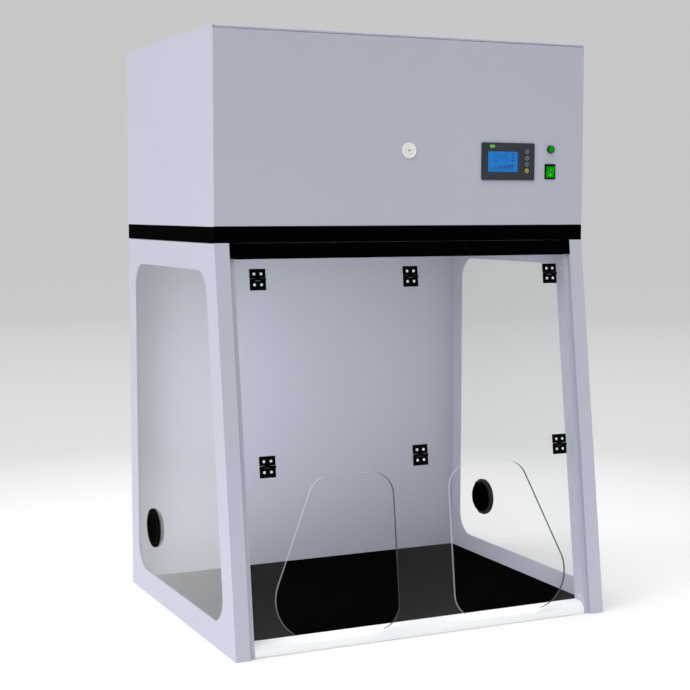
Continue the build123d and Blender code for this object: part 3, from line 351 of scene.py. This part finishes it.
def make_materials():
    """One material for each slot of the record, and a few for printed marks and for the painted shade and painted
    highlight on the cut edges of the clear sheets.
    """
    MATERIALS.update({
        "white_coat": coated("white_coat", (0.465, 0.478, 0.567), 0.48, Specular_IOR_Level=0.25),
        "black_coat": coated("black_coat", (0.0008, 0.0008, 0.0008), 0.6, Specular_IOR_Level=0.0015),
        "clear_sheet": clear("clear_sheet", (0.75, 0.78, 0.80), 0.003, (0.99, 0.995, 0.995), 0.012),
        "side_sheet": clear("side_sheet", (0.72, 0.74, 0.76), 0.03, (0.975, 0.98, 0.98), 0.030),
        "black_board": laminate("black_board"),
        "white_sill": coated("white_sill", (0.97, 0.97, 0.98), 0.55, Specular_IOR_Level=0.15),
        "hinge_black": coated("hinge_black", (0.001, 0.001, 0.001), 0.55, Specular_IOR_Level=0.02),
        "screw_steel": bright_metal("screw_steel", (0.76, 0.76, 0.76), 0.5, metal=0.3),
        "pin_steel": bright_metal("pin_steel", (0.01, 0.01, 0.01), 0.5, (0.05, 1, 1)),
        "port_grey": moulded("port_grey", (0.0008, 0.0008, 0.0008), 0.55, Specular_IOR_Level=0.004),
        "port_cap": moulded("port_cap", (0.0008, 0.0008, 0.0008), 0.5, Specular_IOR_Level=0.001),
        "rubber_seal": moulded("rubber_seal", (0.015, 0.015, 0.015), 0.75, 900),
        "lock_metal": bright_metal("lock_metal", (0.97, 0.97, 0.94), 0.35, metal=0.45),
        "panel_slate": moulded("panel_slate", (0.026, 0.031, 0.041), 0.4, Specular_IOR_Level=0.3),
        "screen_blue": lit_screen("screen_blue"),
        "key_dark": moulded("key_dark", (0.030, 0.037, 0.050), 0.5),
        "key_yellow": moulded("key_yellow", (0.16, 0.17, 0.02), 0.5),
        "lamp_black": moulded("lamp_black", (0.003, 0.003, 0.003), 0.35, Specular_IOR_Level=0.2),
        "lamp_green": moulded("lamp_green", (0.0, 0.26, 0.0), 0.22, 300, Specular_IOR_Level=0.06,
                              Emission_Color=(0.0, 0.26, 0.0, 1), Emission_Strength=0.2),
        "rocker_green": moulded("rocker_green", (0.0, 0.32, 0.0), 0.3, 500, Specular_IOR_Level=0.02,
                                Emission_Color=(0.0, 0.3, 0.0, 1), Emission_Strength=0.2),
        "galvanised": galvanised("galvanised"),
        "motor_black": coated("motor_black", (0.02, 0.02, 0.022), 0.4),
        "wheel_grey": moulded("wheel_grey", (0.07, 0.07, 0.075), 0.5),
        "carbon": granules("carbon"),
        "filter_cloth": fibre_mat("filter_cloth"),
        "inlet_black": moulded("inlet_black", (0.012, 0.012, 0.012), 0.42),
        # printed marks, painted shade and painted highlight for cut edges, and the other extras
        "print_grey": moulded("print_grey", (0.22, 0.24, 0.27), 0.5),
        "print_dim": moulded("print_dim", (0.07, 0.08, 0.10), 0.5),
        "status_green": moulded("status_green", (0.14, 0.42, 0.07), 0.3, Specular_IOR_Level=0.1,
                                Emission_Color=(0.14, 0.42, 0.07, 1), Emission_Strength=0.2),
        "print_white": moulded("print_white", (0.75, 0.77, 0.78), 0.5),
        "segment_blue": moulded("segment_blue", (0.0, 0.05, 0.28), 0.4),
        "print_yellow": moulded("print_yellow", (0.42, 0.42, 0.05), 0.5),
        # painted shade and painted highlight: a dark and a light copy of one cut-edge finish, standing in for
        # light from the left
        "cut_edge_painted_shade": moulded("cut_edge_painted_shade", (0.035, 0.04, 0.045), 0.2, 500, Alpha=0.85,
                             Specular_IOR_Level=0.15),
        "cut_edge_painted_highlight": moulded("cut_edge_painted_highlight", (0.70, 0.72, 0.78), 0.3, 500, Alpha=0.35),
        "nut_grey": moulded("nut_grey", (0.022, 0.022, 0.023), 0.45, Specular_IOR_Level=0.2),
    })


# ---------------------------------------------------------------- mesh helpers
def piece(name, bm, body, slot, *materials):
    """Turns a bmesh into a piece of the object that rides on a body."""
    mesh = bpy.data.meshes.new(name)
    bm.to_mesh(mesh)
    bm.free()
    for material in materials or (slot,):
        mesh.materials.append(MATERIALS[material])
    made = bpy.data.objects.new(name, mesh)
    bpy.context.scene.collection.objects.link(made)
    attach(made, body)
    return made


def smooth(made, angle=32):
    """Smooth shading with creases kept where faces meet at more than the angle."""
    made.data.polygons.foreach_set("use_smooth", [True] * len(made.data.polygons))
    made.data.set_sharp_from_angle(angle=radians(angle))
    return made


def round_edges(made, radius, segments, angle):
    """Rounds each edge whose faces meet at more than the angle, in degrees."""
    bevel = made.modifiers.new("round", "BEVEL")
    bevel.width = radius
    bevel.segments = segments
    bevel.limit_method = "ANGLE"
    bevel.angle_limit = radians(angle)


def settle(made):
    """Makes a piece's modifiers part of its mesh."""
    graph = bpy.context.evaluated_depsgraph_get()
    mesh = bpy.data.meshes.new_from_object(made.evaluated_get(graph))
    made.modifiers.clear()
    made.data = mesh
    return made


WELD = 0.002 * MM
EDGE_MARGIN = 12 * MM


def welded(node):
    """A CAD node's surface as a bmesh whose faces share their corners."""
    bm = bmesh.new()
    bm.from_mesh(NODES[node].data)
    bmesh.ops.remove_doubles(bm, verts=bm.verts, dist=WELD)
    return bm


def node_bmesh(node):
    """A CAD node's surface as one clean bmesh with flat faces joined up."""
    bm = welded(node)
    bmesh.ops.dissolve_limit(bm, angle_limit=radians(0.5), verts=bm.verts, edges=bm.edges,
                             use_dissolve_boundaries=False)
    bm.normal_update()
    return bm


def soften(node, radius, edge_normal=None):
    """Stands in for a CAD node with every sharp edge rounded to the radius, in metres.
    With edge_normal, the cut faces of openings, EDGE_MARGIN or more within the sheet, differ: painted shade where
    they face left and a painted highlight elsewhere, standing in for the light from the left that catches a thick
    clear sheet's polished edges."""
    slot = SLOT_OF[node]
    materials = (slot, "cut_edge_painted_shade", "cut_edge_painted_highlight") if edge_normal else (slot,)
    made = piece(f"{node}_finished", node_bmesh(node), BODY_OF[node], slot, *materials)
    if edge_normal:
        low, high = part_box(node)
        for face in made.data.polygons:
            within = all(low[i] + EDGE_MARGIN < face.center[i] < high[i] - EDGE_MARGIN for i in (0, 2))
            if within and abs(face.normal.dot(edge_normal)) < 0.5:
                # painted shade on cut faces that face left, painted highlight on the others
                face.material_index = 1 if face.normal.x < -0.2 else 2
    round_edges(made, radius, 2, 35)
    weighted = made.modifiers.new("weighted", "WEIGHTED_NORMAL")
    weighted.keep_sharp = True
    weighted.weight = 80
    smooth(made, 40)
    settle(made)
    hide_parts(node)
    return made


def islands(node):
    """Vertex places of each separate solid in a CAD node."""
    bm = welded(node)
    seen = set()
    groups = []
    for start in bm.verts:
        if start in seen:
            continue
        seen.add(start)
        stack, group = [start], []
        while stack:
            vert = stack.pop()
            group.append(vert.co.copy())
            for edge in vert.link_edges:
                other = edge.other_vert(vert)
                if other not in seen:
                    seen.add(other)
                    stack.append(other)
        groups.append(group)
    bm.free()
    return groups


def centre(points):
    """Middle of the box round some points."""
    return Vector([(min(p[i] for p in points) + max(p[i] for p in points)) / 2 for i in range(3)])


def tip(points, direction):
    """Point on a solid's axis, at its far end along the direction."""
    middle = centre(points)
    reach = max((p - middle).dot(direction) for p in points)
    return middle + direction * reach


def standing(place, direction, spin=0.0):
    """Matrix that puts local +Z along the direction at the place."""
    turn = direction.to_track_quat("Z", "Y").to_matrix().to_4x4()
    return Matrix.Translation(place) @ turn @ Matrix.Rotation(spin, 4, "Z")


def lathe(bm, outline, steps, place=Matrix.Identity(4), closed=False):
    """Turns (radius, height) points about local Z. Ends on the axis are capped, and a closed
    outline joins its last point to its first."""
    rings = []
    for radius, height in outline:
        if radius == 0:
            rings.append([bm.verts.new(place @ Vector((0, 0, height)))])
        else:
            angles = [2 * pi * step / steps for step in range(steps)]
            rings.append([bm.verts.new(place @ Vector((radius * cos(a), radius * sin(a), height)))
                          for a in angles])
    for low, high in zip(rings, rings[1:] + (rings[:1] if closed else [])):
        if len(low) == len(high) == 1:
            continue
        for step in range(steps):
            after = (step + 1) % steps
            if len(low) == 1:
                bm.faces.new((low[0], high[after], high[step]))
            elif len(high) == 1:
                bm.faces.new((low[step], low[after], high[0]))
            else:
                bm.faces.new((low[step], low[after], high[after], high[step]))


def arc(middle, radius, start, end, steps):
    """(radius, height) points along an arc, angles in degrees."""
    return [(middle[0] + radius * cos(radians(start + (end - start) * step / steps)),
             middle[1] + radius * sin(radians(start + (end - start) * step / steps)))
            for step in range(steps + 1)]


def plate(bm, outline, thick, place):
    """Flat plate with the outline in local XY, standing from local z 0 to thick."""
    low = [bm.verts.new(place @ Vector((x, y, 0))) for x, y in outline]
    high = [bm.verts.new(place @ Vector((x, y, thick))) for x, y in outline]
    bm.faces.new(low[::-1])
    bm.faces.new(high)
    for i in range(len(outline)):
        j = (i + 1) % len(outline)
        bm.faces.new((low[i], low[j], high[j], high[i]))


def rounded(width, height, radius, steps=5):
    """Outline of a rounded rectangle about the origin."""
    outline = []
    for quarter, (sx, sy) in enumerate(((1, 1), (-1, 1), (-1, -1), (1, -1))):
        corner = (sx * (width / 2 - radius), sy * (height / 2 - radius))
        outline += arc(corner, radius, 90 * quarter, 90 * quarter + 90, steps)
    return outline


def bar(bm, width, height, thick, place):
    """Small rectangular bar, centred in local XY."""
    plate(bm, [(width / 2, height / 2), (-width / 2, height / 2), (-width / 2, -height / 2),
               (width / 2, -height / 2)], thick, place)


def ring_wire(bm, middle, ring_radius, wire_radius):
    """Round wire bent into a level ring."""
    steps, around = 96, 8
    rows = []
    for step in range(steps):
        a = 2 * pi * step / steps
        outward = Vector((cos(a), sin(a), 0))
        rows.append([bm.verts.new(middle + outward * (ring_radius + wire_radius * cos(b))
                                  + UP * wire_radius * sin(b))
                     for b in (2 * pi * k / around for k in range(around))])
    for step in range(steps):
        now, after = rows[step], rows[(step + 1) % steps]
        for k in range(around):
            bm.faces.new((now[k], after[k], after[(k + 1) % around], now[(k + 1) % around]))


def cut(made, tool_bm):
    """Cuts a tool shape out of a piece. The tool's own parts may cross each other."""
    mesh = bpy.data.meshes.new("tool")
    tool_bm.to_mesh(mesh)
    tool_bm.free()
    tool = bpy.data.objects.new("tool", mesh)
    bpy.context.scene.collection.objects.link(tool)
    boolean = made.modifiers.new("cut", "BOOLEAN")
    boolean.operation = "DIFFERENCE"
    boolean.solver = "EXACT"
    boolean.use_self = True
    boolean.object = tool
    settle(made)
    bpy.data.objects.remove(tool)
    return made


# ---------------------------------------------------------------- screws
SHORTEST_SHANK = 0.4 * MM


def screw_mesh(radius, height, shank_radius, shank):
    """Mesh of one pan-headed screw with a cross recess. Its head's top is at local z 0."""
    bm = bmesh.new()
    crown = [(0, 0)] + [(radius * sin(radians(a)) * 0.98, -height * 0.75 * (1 - cos(radians(a))))
                        for a in (15, 30, 45, 60, 75)]
    outline = crown + [(radius, -height * 0.82), (radius, -height), (shank_radius, -height),
                       (shank_radius, -height - shank), (0, -height - shank)]
    lathe(bm, outline, 28)
    bmesh.ops.recalc_face_normals(bm, faces=bm.faces)
    mesh = bpy.data.meshes.new("screw")
    bm.to_mesh(mesh)
    bm.free()
    made = bpy.data.objects.new("screw", mesh)
    bpy.context.scene.collection.objects.link(made)
    tool = bmesh.new()
    for spin in (0, pi / 2):
        place = Matrix.Translation((0, 0, -height * 0.5)) @ Matrix.Rotation(spin, 4, "Z")
        bar(tool, radius * 0.95, radius * 0.18, height, place)
    bmesh.ops.recalc_face_normals(tool, faces=tool.faces)
    cut(made, tool)
    mesh = made.data
    bpy.data.objects.remove(made)
    return mesh


def screws(node, direction_of, radius, height, shank_radius):
    """Stands in for a node of screws. direction_of gives the way a screw's head faces."""
    bm = bmesh.new()
    solids = islands(node)
    facing = direction_of(centre(solids[0]))
    length = (tip(solids[0], facing) - tip(solids[0], -facing)).length
    mesh = screw_mesh(radius, height, shank_radius, max(SHORTEST_SHANK, length - height))
    for number, points in enumerate(solids):
        direction = direction_of(centre(points))
        # each recess is turned differently, as if the screws were driven by hand
        turned = mesh.copy()
        turned.transform(standing(tip(points, direction), direction, 0.7 + 1.9 * number))
        bm.from_mesh(turned)
        bpy.data.meshes.remove(turned)
    made = piece(f"{node}_finished", bm, BODY_OF[node], SLOT_OF[node])
    smooth(made, 38)
    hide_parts(node)


def all_screws():
    """The hinge, jamb, lid and back wall screws, by head radius, head height and shank radius."""
    small = (2.7 * MM, 1.1 * MM, 1.6 * MM)
    for node in ("strip_screws", "upper_flap_screws", "lower_flap_screws"):
        screws(node, lambda place: FRONT_NORMAL, *small)
    screws("jamb_screws", lambda place: Vector((-1 if place.x > 0 else 1, 0, 0)), *small)
    screws("cover_screws", lambda place: UP, 4.0 * MM, 1.75 * MM, 2.0 * MM)
    screws("back_screws", lambda place: BACKWARD, 4.0 * MM, 1.2 * MM, 2.0 * MM)


# ---------------------------------------------------------------- sheet metal and clear sheets
def cabinet():
    """Folded and moulded parts, with the radii in millimetres that folding and trimming leave."""
    for node, radius in (
        ("left_frame", 0.7), ("right_frame", 0.7), ("head_casing", 0.8), ("head_top", 0.7),
        ("front_door", 0.7), ("base_band", 0.9), ("header_bar", 0.6), ("back_panel", 0.6),
        ("floor_board", 0.6), ("sill", 0.8), ("door_seal", 1.3), ("filter_case", 0.8),
        ("fan_deck", 0.5), ("motor_bracket", 0.6), ("rocker_bezel", 0.35), ("controller", 0.5),
        ("power_inlet", 0.4), ("left_port_cap", 0.35), ("right_port_cap", 0.35),
        ("lock_plug", 0.2), ("lock_cam", 0.3),
        ("strip_leaves", 0.3), ("upper_flap_top_leaves", 0.3), ("upper_flap_low_leaves", 0.3),
        ("lower_flap_leaves", 0.3), ("door_hinge_fixed_leaf", 0.3), ("door_hinge_moving_leaf", 0.3),
        ("lamp_ring", 0.2), ("lock_body", 0.3), ("port_bodies", 0.4), ("fan_inlet", 0.4),
        ("fan_motor", 0.8), ("lcd_screen", 0.15), ("key_1", 0.2), ("key_2", 0.2), ("key_3", 0.2),
        ("key_4", 0.2),
    ):
        soften(node, radius * MM)
    soften("port_nuts", 0.4 * MM).data.materials[0] = MATERIALS["nut_grey"]
    for node in ("top_strip", "upper_flap", "lower_flap"):
        soften(node, 0.5 * MM, FRONT_NORMAL)
    for node in ("left_window", "right_window"):
        soften(node, 0.25 * MM)


# ---------------------------------------------------------------- controls on the door
# seven-segment figures: each segment's place, in half heights, and whether it lies level
SEGMENTS = {"a": (0, 1, 1), "b": (0.5, 0.5, 0), "c": (0.5, -0.5, 0), "d": (0, -1, 1),
            "e": (-0.5, -0.5, 0), "f": (-0.5, 0.5, 0), "g": (0, 0, 1)}
LIT = {"0": "abcdef", "4": "bcfg", "5": "acdfg"}
SIGN_THICK = 0.12 * MM


def on_door(x, y, z):
    """Matrix whose local Z comes forward out of the door, with local X to the right and Y up."""
    turn = Matrix(((1, 0, 0, 0), (0, 0, -1, 0), (0, 1, 0, 0), (0, 0, 0, 1)))
    return Matrix.Translation((x, y, z)) @ turn


def shifted(place, x, y, z=0.0):
    """The place moved along its own axes."""
    return place @ Matrix.Translation((x, y, z))


def closed_up(bm):
    """The bmesh with all its faces turned outward."""
    bmesh.ops.recalc_face_normals(bm, faces=bm.faces)
    return bm


def digit(bm, sign, height, place, thick):
    """Seven-segment figure."""
    long, wide = height * 0.40, height * 0.10
    for segment in LIT[sign]:
        x, y, level = SEGMENTS[segment]
        size = (long, wide) if level else (wide, long)
        bar(bm, *size, thick, shifted(place, x * height * 0.56, y * height * 0.5))


def screen_marks():
    """Printed-looking figures and a bar gauge on the screen."""
    low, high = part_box("lcd_screen")
    screen = on_door((low.x + high.x) / 2, low.y, (low.z + high.z) / 2)
    wide, tall = high.x - low.x, high.z - low.z
    thick = 0.08 * MM
    bm = bmesh.new()
    for number, sign in enumerate("045"):
        spot = shifted(screen, wide * (-0.22 + 0.17 * number), tall * 0.17)
        digit(bm, sign, tall * 0.30, spot, thick)
    bar(bm, wide * 0.018, wide * 0.018, thick, shifted(screen, -wide * 0.135, tall * 0.02))
    for step in range(14):
        bar(bm, wide * 0.028, tall * (0.06 + 0.012 * step), thick,
            shifted(screen, wide * (-0.36 + 0.052 * step), tall * (-0.30 + 0.006 * step)))
    for edge in (-0.16, -0.40):
        bar(bm, wide * 0.80, tall * 0.012, thick, shifted(screen, 0, tall * edge))
    for row in range(3):
        spot = shifted(screen, wide * 0.33, tall * (0.32 - 0.14 * row))
        bar(bm, wide * 0.10, tall * 0.05, thick, spot)
    piece("screen_marks", closed_up(bm), "door", "screen_blue", "segment_blue")


def frame_line(bm, width, height, line, thick, place):
    """Thin printed rectangle."""
    for side in (-1, 1):
        bar(bm, width, line, thick, shifted(place, 0, side * height / 2))
        bar(bm, line, height, thick, shifted(place, side * width / 2, 0))


def panel_print():
    """The screen's bezel, a hairline round it, a scale below it, and a green status light above it."""
    low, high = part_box("lcd_screen")
    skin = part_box("controller")[0].y
    wide, tall = high.x - low.x, high.z - low.z
    face = on_door((low.x + high.x) / 2, skin + 0.02 * MM, (low.z + high.z) / 2)
    lip, overlap, proud = 2.2 * MM, 0.3 * MM, 0.5 * MM
    bm = bmesh.new()
    for side in (-1, 1):
        bar(bm, wide + 1 * MM, lip, proud, shifted(face, 0, side * (tall / 2 - lip / 2 + overlap)))
        bar(bm, lip, tall - lip, proud, shifted(face, side * (wide / 2 - lip / 2 + overlap), 0))
    piece("screen_bezel", closed_up(bm), "door", "panel_slate")

    bm = bmesh.new()
    ink = 0.1 * MM
    above, below = tall / 2 + 8 * MM, -tall / 2 - 6 * MM
    frame_line(bm, wide + 4 * MM, tall + 4 * MM, 0.4 * MM, ink, face)
    for tick in range(21):
        reach = 2.4 * MM if tick % 5 == 0 else 1.4 * MM
        bar(bm, 0.5 * MM, reach, ink, shifted(face, -wide / 2 + tick * wide * 0.034, below))
    for dot in range(5):
        bar(bm, 1.6 * MM, 1.6 * MM, ink, shifted(face, -wide * 0.17 + dot * 3.4 * MM, above))
    piece("panel_print", closed_up(bm), "door", "panel_slate", "print_dim")

    light = shifted(face, -wide * 0.34, above)
    bm = bmesh.new()
    for thick, inset in ((0.4 * MM, 0.0), (0.8 * MM, 0.6 * MM)):
        length, height = 12 * MM - 2 * inset, 6 * MM - 2 * inset
        plate(bm, rounded(length, height, height * 0.49, 8), thick, light)
    made = piece("status_light", closed_up(bm), "door", "lamp_green", "status_green")
    round_edges(made, 0.15 * MM, 2, 50)
    settle(smooth(made, 40))


def triangle(bm, size, thick, place, way):
    """Printed triangle that points up where way is 1 and down where it is -1."""
    plate(bm, [(0, way * size), (-way * size, -way * size * 0.6), (way * size, -way * size * 0.6)],
          thick, place)


def key_marks():
    """A moulded ring round each key and a plain sign on it."""
    for number in range(1, 5):
        name = f"key_{number}"
        low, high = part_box(name)
        radius = (high.x - low.x) / 2
        face = on_door((low.x + high.x) / 2, low.y, (low.z + high.z) / 2)
        ink = "print_yellow" if number == 4 else "print_grey"
        bm = bmesh.new()
        thick = SIGN_THICK
        ring = [(radius * 0.92, 0), (radius * 0.92, thick), (radius * 0.70, thick), (radius * 0.70, 0)]
        lathe(bm, ring, 48, face, closed=True)
        if number == 1:
            triangle(bm, radius * 0.34, thick, face, 1)
        elif number == 2:
            triangle(bm, radius * 0.34, thick, face, -1)
        elif number == 3:
            bar(bm, radius * 0.55, radius * 0.16, thick, shifted(face, 0, radius * 0.16))
            bar(bm, radius * 0.55, radius * 0.16, thick, shifted(face, 0, -radius * 0.16))
        else:
            lathe(bm, [(radius * 0.44, 0), (radius * 0.44, thick), (radius * 0.30, thick),
                       (radius * 0.30, 0)], 32, face, closed=True)
            bar(bm, radius * 0.14, radius * 0.5, thick, shifted(face, 0, radius * 0.28, 0.01 * MM))
        piece(f"{name}_print", closed_up(bm), name, SLOT_OF[name], ink)


def pilot_lamp():
    """Domed green lens with moulded rings, in the black ring."""
    low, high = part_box("lamp_lens")
    radius = (high.x - low.x) / 2 * 0.99
    depth = high.y - low.y
    place = on_door((low.x + high.x) / 2, high.y, (low.z + high.z) / 2)
    outline = [(0, 0), (radius, 0), (radius, depth * 0.45)]
    steps = 26
    for step in range(steps):
        share = 1 - step / steps
        rib = 0.10 * MM * (step % 2)
        outline.append((radius * share, depth * (0.45 + 0.5 * (1 - share ** 2.2)) + rib))
    outline.append((0, depth * 0.97))
    bm = bmesh.new()
    lathe(bm, outline, 56, place)
    made = smooth(piece("lamp_lens_finished", closed_up(bm), "door", "lamp_green"), 60)
    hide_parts("lamp_lens")


ROCKER_TILT = 8.0        # degrees, as the CAD rocker stands at rest


def power_rocker():
    """Green rocker with hollowed pads, standing off at its upper end, with the usual signs."""
    low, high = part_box("rocker")
    pivot = Vector(JOINTS["rocker_tilt"]["pos_m"])
    half = (high.x - low.x) / 2
    length = 11.0 * MM
    # local X along the width, Y along the length, Z out of the door
    level = on_door((low.x + high.x) / 2, pivot.y, pivot.z)
    place = level @ Matrix.Rotation(radians(ROCKER_TILT), 4, "X")
    outline = [(-length, 0.8 * MM)]
    for step in range(25):
        t = -1 + step / 12
        outline.append((length * t, (5.9 + 1.5 * abs(t) ** 1.7) * MM))
    outline += [(length, 0.8 * MM), (0, -4.6 * MM)]
    bm = bmesh.new()
    sides = [[bm.verts.new(place @ Vector((side * half, y, z))) for y, z in outline] for side in (-1, 1)]
    bm.faces.new(sides[0][::-1])
    bm.faces.new(sides[1])
    for i in range(len(outline)):
        j = (i + 1) % len(outline)
        bm.faces.new((sides[0][i], sides[0][j], sides[1][j], sides[1][i]))
    made = piece("rocker_finished", closed_up(bm), "rocker", "rocker_green")
    round_edges(made, 0.5 * MM, 3, 40)
    settle(smooth(made, 40))
    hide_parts("rocker")

    bm = bmesh.new()
    thick = SIGN_THICK
    pad = 6.35 * MM
    bar(bm, 0.9 * MM, 4.2 * MM, thick, shifted(place, 0, length * 0.55, pad - 0.05 * MM))
    lathe(bm, [(2.1 * MM, 0), (2.1 * MM, thick), (1.4 * MM, thick), (1.4 * MM, 0)], 32,
          shifted(place, 0, -length * 0.55, pad + 0.02 * MM), closed=True)
    piece("rocker_signs", closed_up(bm), "rocker", "rocker_green", "print_white")


# ---------------------------------------------------------------- air parts
def exhaust_guard():
    """Flat flange with a guard of round wires welded across it."""
    low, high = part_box("exhaust_guard")
    middle = (low + high) / 2
    outer = (high.x - low.x) / 2
    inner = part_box("fan_wheel")[1].x
    thick = high.z - low.z
    base = Vector((middle.x, middle.y, low.z))
    bm = bmesh.new()
    edge = 0.5 * MM
    flange = [(inner, 0), (inner, thick - edge), (inner + edge, thick), (outer - edge, thick),
              (outer, thick - edge), (outer, 0)]
    lathe(bm, flange, 120, Matrix.Translation(base), closed=True)
    wire = 1.3 * MM
    rings, spokes = 9, 8
    for ring in range(1, rings):
        ring_wire(bm, base + UP * wire, inner * ring / rings, wire)
    reach = inner * (1 - 1 / rings) + 6 * MM
    for spoke in range(spokes):
        angle = 2 * pi * spoke / spokes
        outward = Vector((cos(angle), sin(angle), 0))
        place = standing(base + UP * (1.9 * wire) + outward * inner / rings, outward)
        lathe(bm, [(0, 0), (wire * 0.8, 0), (wire * 0.8, reach), (0, reach)], 8, place)
    made = smooth(piece("exhaust_guard_finished", closed_up(bm), "cabinet", "white_coat"), 40)
    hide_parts("exhaust_guard")


def fan_wheel():
    """Backward-curved wheel: back plate, flared inlet ring, thin curved blades and the rotor."""
    low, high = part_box("fan_wheel")
    middle = (low + high) / 2
    outer = (high.x - low.x) / 2
    tall = high.z - low.z
    eye = 81 * MM
    hub = 44 * MM
    bore = 6.1 * MM
    skin = 1.8 * MM
    blades = 7
    base = Matrix.Translation((middle.x, middle.y, low.z))
    bm = bmesh.new()
    # back plate on top, with a raised rim
    lathe(bm, [(hub, tall), (outer - 1 * MM, tall), (outer, tall - 1 * MM), (outer, tall - skin),
               (hub, tall - skin)], 120, base, closed=True)
    # inlet ring, flared up into the wheel
    flare = arc((eye + 8 * MM, 8 * MM), 8 * MM, 180, 270, 8)
    back = [(r, h + skin) for r, h in flare[::-1]]
    lathe(bm, flare + [(outer, 0), (outer, skin)] + back, 120, base, closed=True)
    # rotor
    lathe(bm, [(bore, tall - 40 * MM), (bore, tall), (hub - 2 * MM, tall), (hub, tall - 2 * MM),
               (hub, tall - 44 * MM), (hub - 4 * MM, tall - 48 * MM), (0, tall - 48 * MM),
               (0, tall - 40 * MM)], 96, base, closed=True)
    for number in range(blades):
        turn = base @ Matrix.Rotation(2 * pi * number / blades, 4, "Z")
        upper, under = [], []
        for step in range(13):
            share = step / 12
            radius = 78 * MM + (outer - 79 * MM) * share
            angle = -0.42 * share ** 0.8
            half = (1.6 - 1.1 * abs(2 * share - 1) ** 2) * MM
            spot = Vector((radius * cos(angle), radius * sin(angle)))
            normal = Vector((-sin(angle + 0.95), cos(angle + 0.95)))
            upper.append(spot + normal * half)
            under.append(spot - normal * half)
        plate(bm, [tuple(p) for p in upper + under[::-1]], tall - 2.5 * MM, shifted(turn, 0, 0, 1 * MM))
    made = smooth(piece("fan_wheel_finished", closed_up(bm), "fan", "wheel_grey"), 35)
    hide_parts("fan_wheel")


def pre_filter():
    """Pleated mat in a card frame."""
    low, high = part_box("pre_filter")
    border = 14 * MM
    bm = bmesh.new()
    middle = (low + high) / 2
    wide, deep, tall = high - low
    base = Matrix.Translation((middle.x, middle.y, low.z))
    for side in (-1, 1):
        bar(bm, wide, border, tall, shifted(base, 0, side * (deep - border) / 2))
        bar(bm, border, deep - 2 * border, tall, shifted(base, side * (wide - border) / 2, 0))
    inside = wide - 2 * border
    pleats = 46
    pitch = inside / pleats
    paper = 1.71 * MM
    lower, upper = [], []
    for step in range(2 * pleats + 1):
        x = -inside / 2 + step * pitch / 2
        z = 1.5 * MM + (tall - 4.5 * MM) * (step % 2)
        lower.append((x, z))
        upper.append((x, z + paper))
    # local X across the pleats, local Y up, local Z back to front
    stand = on_door(middle.x, middle.y + (deep - 2 * border) / 2, low.z)
    plate(bm, lower + upper[::-1], deep - 2 * border, stand)
    made = piece("pre_filter_finished", closed_up(bm), "cabinet", "filter_cloth")
    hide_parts("pre_filter")


# ---------------------------------------------------------------- main
make_materials()
camera()
studio()
for name, node in NODES.items():
    node.data.materials.clear()
    node.data.materials.append(MATERIALS[SLOT_OF[name]])
cabinet()
all_screws()
screen_marks()
panel_print()
key_marks()
pilot_lamp()
power_rocker()
exhaust_guard()
fan_wheel()
pre_filter()
